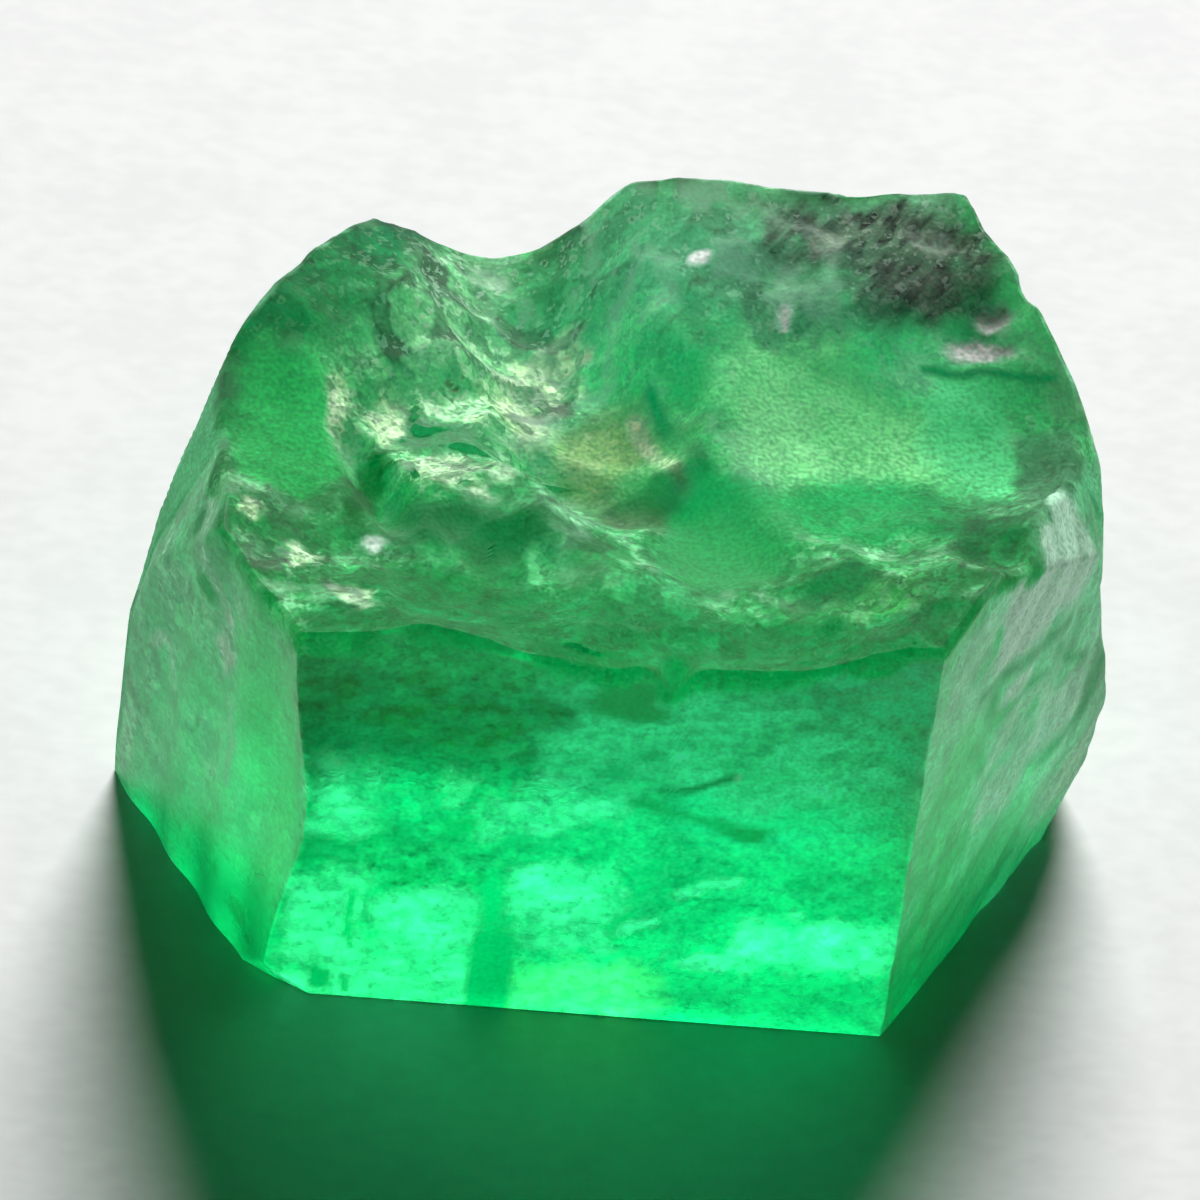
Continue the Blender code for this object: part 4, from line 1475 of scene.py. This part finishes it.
@dataclass(frozen=True)
class EmeraldFinish:
    """Green beryl: clear inside, which takes out red and some blue with depth, under a milky skin."""

    ior: float = 1.577
    absorbed_colour: Colour = (0.5, 0.932, 0.826)
    density_per_m: float = 700.0
    dust: float = 18.0
    grains: float = 10.0
    dust_depth: float = 0.00004
    streak_stretch: Triple = (2.2, 7.0, 6.0)
    streak_turn: float = -55.0
    streak_edges: Pair = (0.4, 0.6)
    streak_depth: float = -0.75
    spark_edges: Pair = (0.82, 0.95)
    frost_dust: Pair = (1.2, 0.4)
    shade_dust: Pair = (0.8, 0.6)
    grain_frost: float = 0.3
    grain_shade: float = 0.8
    speck_frost: float = 0.7
    least_shade: float = 0.02
    # Pale colour of the sparks and specks: painted glints.
    painted_glint_colour: Colour = (0.8, 0.95, 0.78)
    bump_strength: float = 0.25

    def material(self) -> bpy.types.Material:
        """Builds the node material.

        Dust is a fine noise over the whole skin. Sparks are single grains and specks are small pale blotches,
        both only where the skin has glint: painted glints, pale and milky. The milky share is plain diffuse,
        and the rest lets light through.

        Returns:
            The material.
        """
        sheet = NodeSheet(bpy.data.materials.new("emerald"))
        shader = sheet.shader
        places = sheet.places()
        dust = sheet.noise(places, self.dust, 0.0)
        rough = sheet.attribute("rough")
        shade_of_grain, spark = sheet.crystals(places, self.grains)
        centred = sheet.math("SUBTRACT", shade_of_grain, 0.5)
        grains = sheet.math("MULTIPLY", centred, sheet.attribute("grainy"))

        ragged = sheet.math("MULTIPLY_ADD", dust, 0.8, sheet.math("SUBTRACT", spark, 0.4))
        sparks = sheet.math("MULTIPLY", sheet.ramp(ragged, *self.spark_edges), sheet.attribute("glint"))
        specks = sheet.math("MAXIMUM", sparks, sheet.attribute("speck"))
        dusty = sheet.math("MULTIPLY_ADD", dust, *self.frost_dust)
        milky = sheet.math("MULTIPLY", sheet.attribute("frost"), dusty)
        milky = sheet.math("MULTIPLY_ADD", grains, self.grain_frost, milky)
        milky = sheet.math("MULTIPLY_ADD", specks, self.speck_frost, milky)
        clear = sheet.math("SUBTRACT", 1.0, milky, clamp=True)
        sheet.join(clear, shader.inputs["Transmission Weight"])
        sheet.join(rough, shader.inputs["Roughness"])

        stretched = sheet.places(self.streak_stretch, self.streak_turn)
        lines = sheet.ramp(sheet.noise(stretched, 1.0, 1.0), *self.streak_edges)
        dim = sheet.math("MULTIPLY", sheet.math("SUBTRACT", 1.0, lines), sheet.attribute("streaky"))
        shade = sheet.math("MULTIPLY_ADD", dust, *self.shade_dust)
        shade = sheet.math("MULTIPLY_ADD", dim, self.streak_depth, shade)
        shade = sheet.math("MULTIPLY_ADD", grains, self.grain_shade, shade)
        shade = sheet.math("MAXIMUM", shade, self.least_shade)
        tint = sheet.scaled(sheet.attribute("tint", "Color"), shade)
        sheet.join(sheet.mix(specks, tint, self.painted_glint_colour), shader.inputs["Base Color"])
        shader.inputs["IOR"].default_value = self.ior

        bump = sheet.tree.nodes.new("ShaderNodeBump")
        bump.inputs["Strength"].default_value = self.bump_strength
        bump.inputs["Distance"].default_value = self.dust_depth
        sheet.join(sheet.math("MULTIPLY", dust, rough), bump.inputs["Height"])
        sheet.join(bump.outputs["Normal"], shader.inputs["Normal"])
        depth = sheet.tree.nodes.new("ShaderNodeVolumeAbsorption")
        depth.inputs["Color"].default_value = (*self.absorbed_colour, 1.0)
        depth.inputs["Density"].default_value = self.density_per_m
        output = sheet.tree.nodes["Material Output"]
        sheet.join(depth.outputs["Volume"], output.inputs["Volume"])
        return sheet.material


@dataclass(frozen=True)
class PaperFinish:
    """Matt white paper, faintly mottled by its fibres."""

    light: Colour = (0.93, 0.935, 0.925)
    shade: Colour = (0.875, 0.88, 0.875)
    mottle: float = 0.6
    fibre_stretch: Triple = (2.6, 4.2, 1.0)
    edges: Pair = (0.35, 0.65)
    rough: float = 0.9
    gloss: float = 0.1

    def material(self) -> bpy.types.Material:
        """Builds the node material.

        Returns:
            The material.
        """
        sheet = NodeSheet(bpy.data.materials.new("paper"))
        shader = sheet.shader
        blotches = sheet.noise(sheet.places(), self.mottle, 1.0)
        fibres = sheet.noise(sheet.places(self.fibre_stretch), 1.0, 1.0)
        both = sheet.math("MULTIPLY_ADD", fibres, 0.5, sheet.math("MULTIPLY", blotches, 0.5))
        mottled = sheet.mix(sheet.ramp(both, *self.edges), self.shade, self.light)
        sheet.join(mottled, shader.inputs["Base Color"])
        shader.inputs["Roughness"].default_value = self.rough
        shader.inputs["Specular IOR Level"].default_value = self.gloss
        return sheet.material


# ---------------------------------------------------------------- table, light and camera


def towards(azimuth: float, elevation: float) -> Vector:
    """A direction from the stone: azimuth 0 is in front of it and 180 behind it.

    Args:
        azimuth: degrees round the upright axis.
        elevation: degrees above the table.

    Returns:
        A vector of length 1.
    """
    turn, rise = math.radians(azimuth), math.radians(elevation)
    return Vector((math.sin(turn) * math.cos(rise), -math.cos(turn) * math.cos(rise), math.sin(rise)))


@dataclass(frozen=True)
class SoftLight:
    """An oval soft light: direction it comes from, elevation, distance, size in m and power."""

    name: str
    azimuth: float
    elevation: float
    distance: float
    width: float
    height: float
    power: float

    def build(self, target: Vector) -> bpy.types.Object:
        """Makes the light and turns it to the target.

        Args:
            target: the place that it shines at, in metres.

        Returns:
            The light's object.
        """
        away = towards(self.azimuth, self.elevation)
        lamp = bpy.data.lights.new(self.name, "AREA")
        lamp.shape = "ELLIPSE"
        lamp.size, lamp.size_y = self.width, self.height
        lamp.energy = self.power
        light = bpy.data.objects.new(self.name, lamp)
        light.location = target + away * self.distance
        light.rotation_mode = "QUATERNION"
        light.rotation_quaternion = away.to_track_quat("Z", "Y")
        bpy.context.scene.collection.objects.link(light)
        return light


@dataclass(frozen=True)
class Studio:
    """The table and the soft light from behind."""

    table_half: float = 0.4
    table_gap: float = 0.00002
    ambient: float = 0.003
    target: Triple = (0.0, 0.0, 0.003)
    lights: tuple[SoftLight, ...] = (SoftLight("window_light", 174.6, 35.0, 0.3, 0.15, 0.22, 1.56),)

    def build(self) -> None:
        """Makes the table, the world's faint light and the lamps."""
        half = self.table_half
        z = -self.table_gap
        mesh = bpy.data.meshes.new("paper_table")
        mesh.from_pydata(
            [(-half, -half, z), (half, -half, z), (half, half, z), (-half, half, z)], [], [(0, 1, 2, 3)]
        )
        mesh.materials.append(PaperFinish().material())
        table = bpy.data.objects.new("paper_table", mesh)
        bpy.context.scene.collection.objects.link(table)
        world = bpy.data.worlds.new("room")
        bpy.context.scene.world = world
        world.use_nodes = True
        background = world.node_tree.nodes["Background"]
        background.inputs["Color"].default_value = (1.0, 1.0, 1.0, 1.0)
        background.inputs["Strength"].default_value = self.ambient
        for light in self.lights:
            light.build(Vector(self.target))
        bpy.context.scene.view_settings.view_transform = "Standard"


@dataclass(frozen=True)
class Viewpoint:
    """The camera: where it aims in mm, and its elevation, turn and roll in degrees."""

    aim: Triple = (-0.273, 0.623, 2.48)
    elevation: float = 47.04
    azimuth: float = -4.465
    roll: float = 7.72
    field_of_view: float = 6.0
    frame_width: float = 14.88
    sensor: float = 36.0

    def build(self) -> bpy.types.Object:
        """Makes the camera: far off with a long lens, so that its view is frame_width mm wide at its aim.

        Returns:
            The camera's object.
        """
        back = towards(self.azimuth, self.elevation)
        roll = math.radians(self.roll)
        half_view = math.tan(math.radians(self.field_of_view) / 2.0)
        level = (-back).cross(Vector((0.0, 0.0, 1.0))).normalized()
        upright = level.cross(-back)
        right = math.cos(roll) * level + math.sin(roll) * upright
        up = -math.sin(roll) * level + math.cos(roll) * upright
        distance = 0.5 * self.frame_width * MM / half_view
        data = bpy.data.cameras.new("camera")
        data.sensor_width = self.sensor
        data.lens = 0.5 * self.sensor / half_view
        data.clip_start, data.clip_end = 0.001, 10.0
        camera = bpy.data.objects.new("camera", data)
        place = Matrix.Translation(Vector(self.aim) * MM + back * distance)
        camera.matrix_world = place @ Matrix((right, up, back)).transposed().to_4x4()
        bpy.context.scene.collection.objects.link(camera)
        bpy.context.scene.camera = camera
        return camera


def main() -> None:
    """Builds the crystal, the studio and the camera, in that order."""
    logging.basicConfig(level=logging.INFO, format="%(message)s")
    crystal = EmeraldCrystal().build()
    LOG.info("%s: %d faces", crystal.name, len(crystal.data.polygons))
    Studio().build()
    Viewpoint().build()
    LOG.info("table, light and camera are in place")


if __name__ == "__main__":
    main()
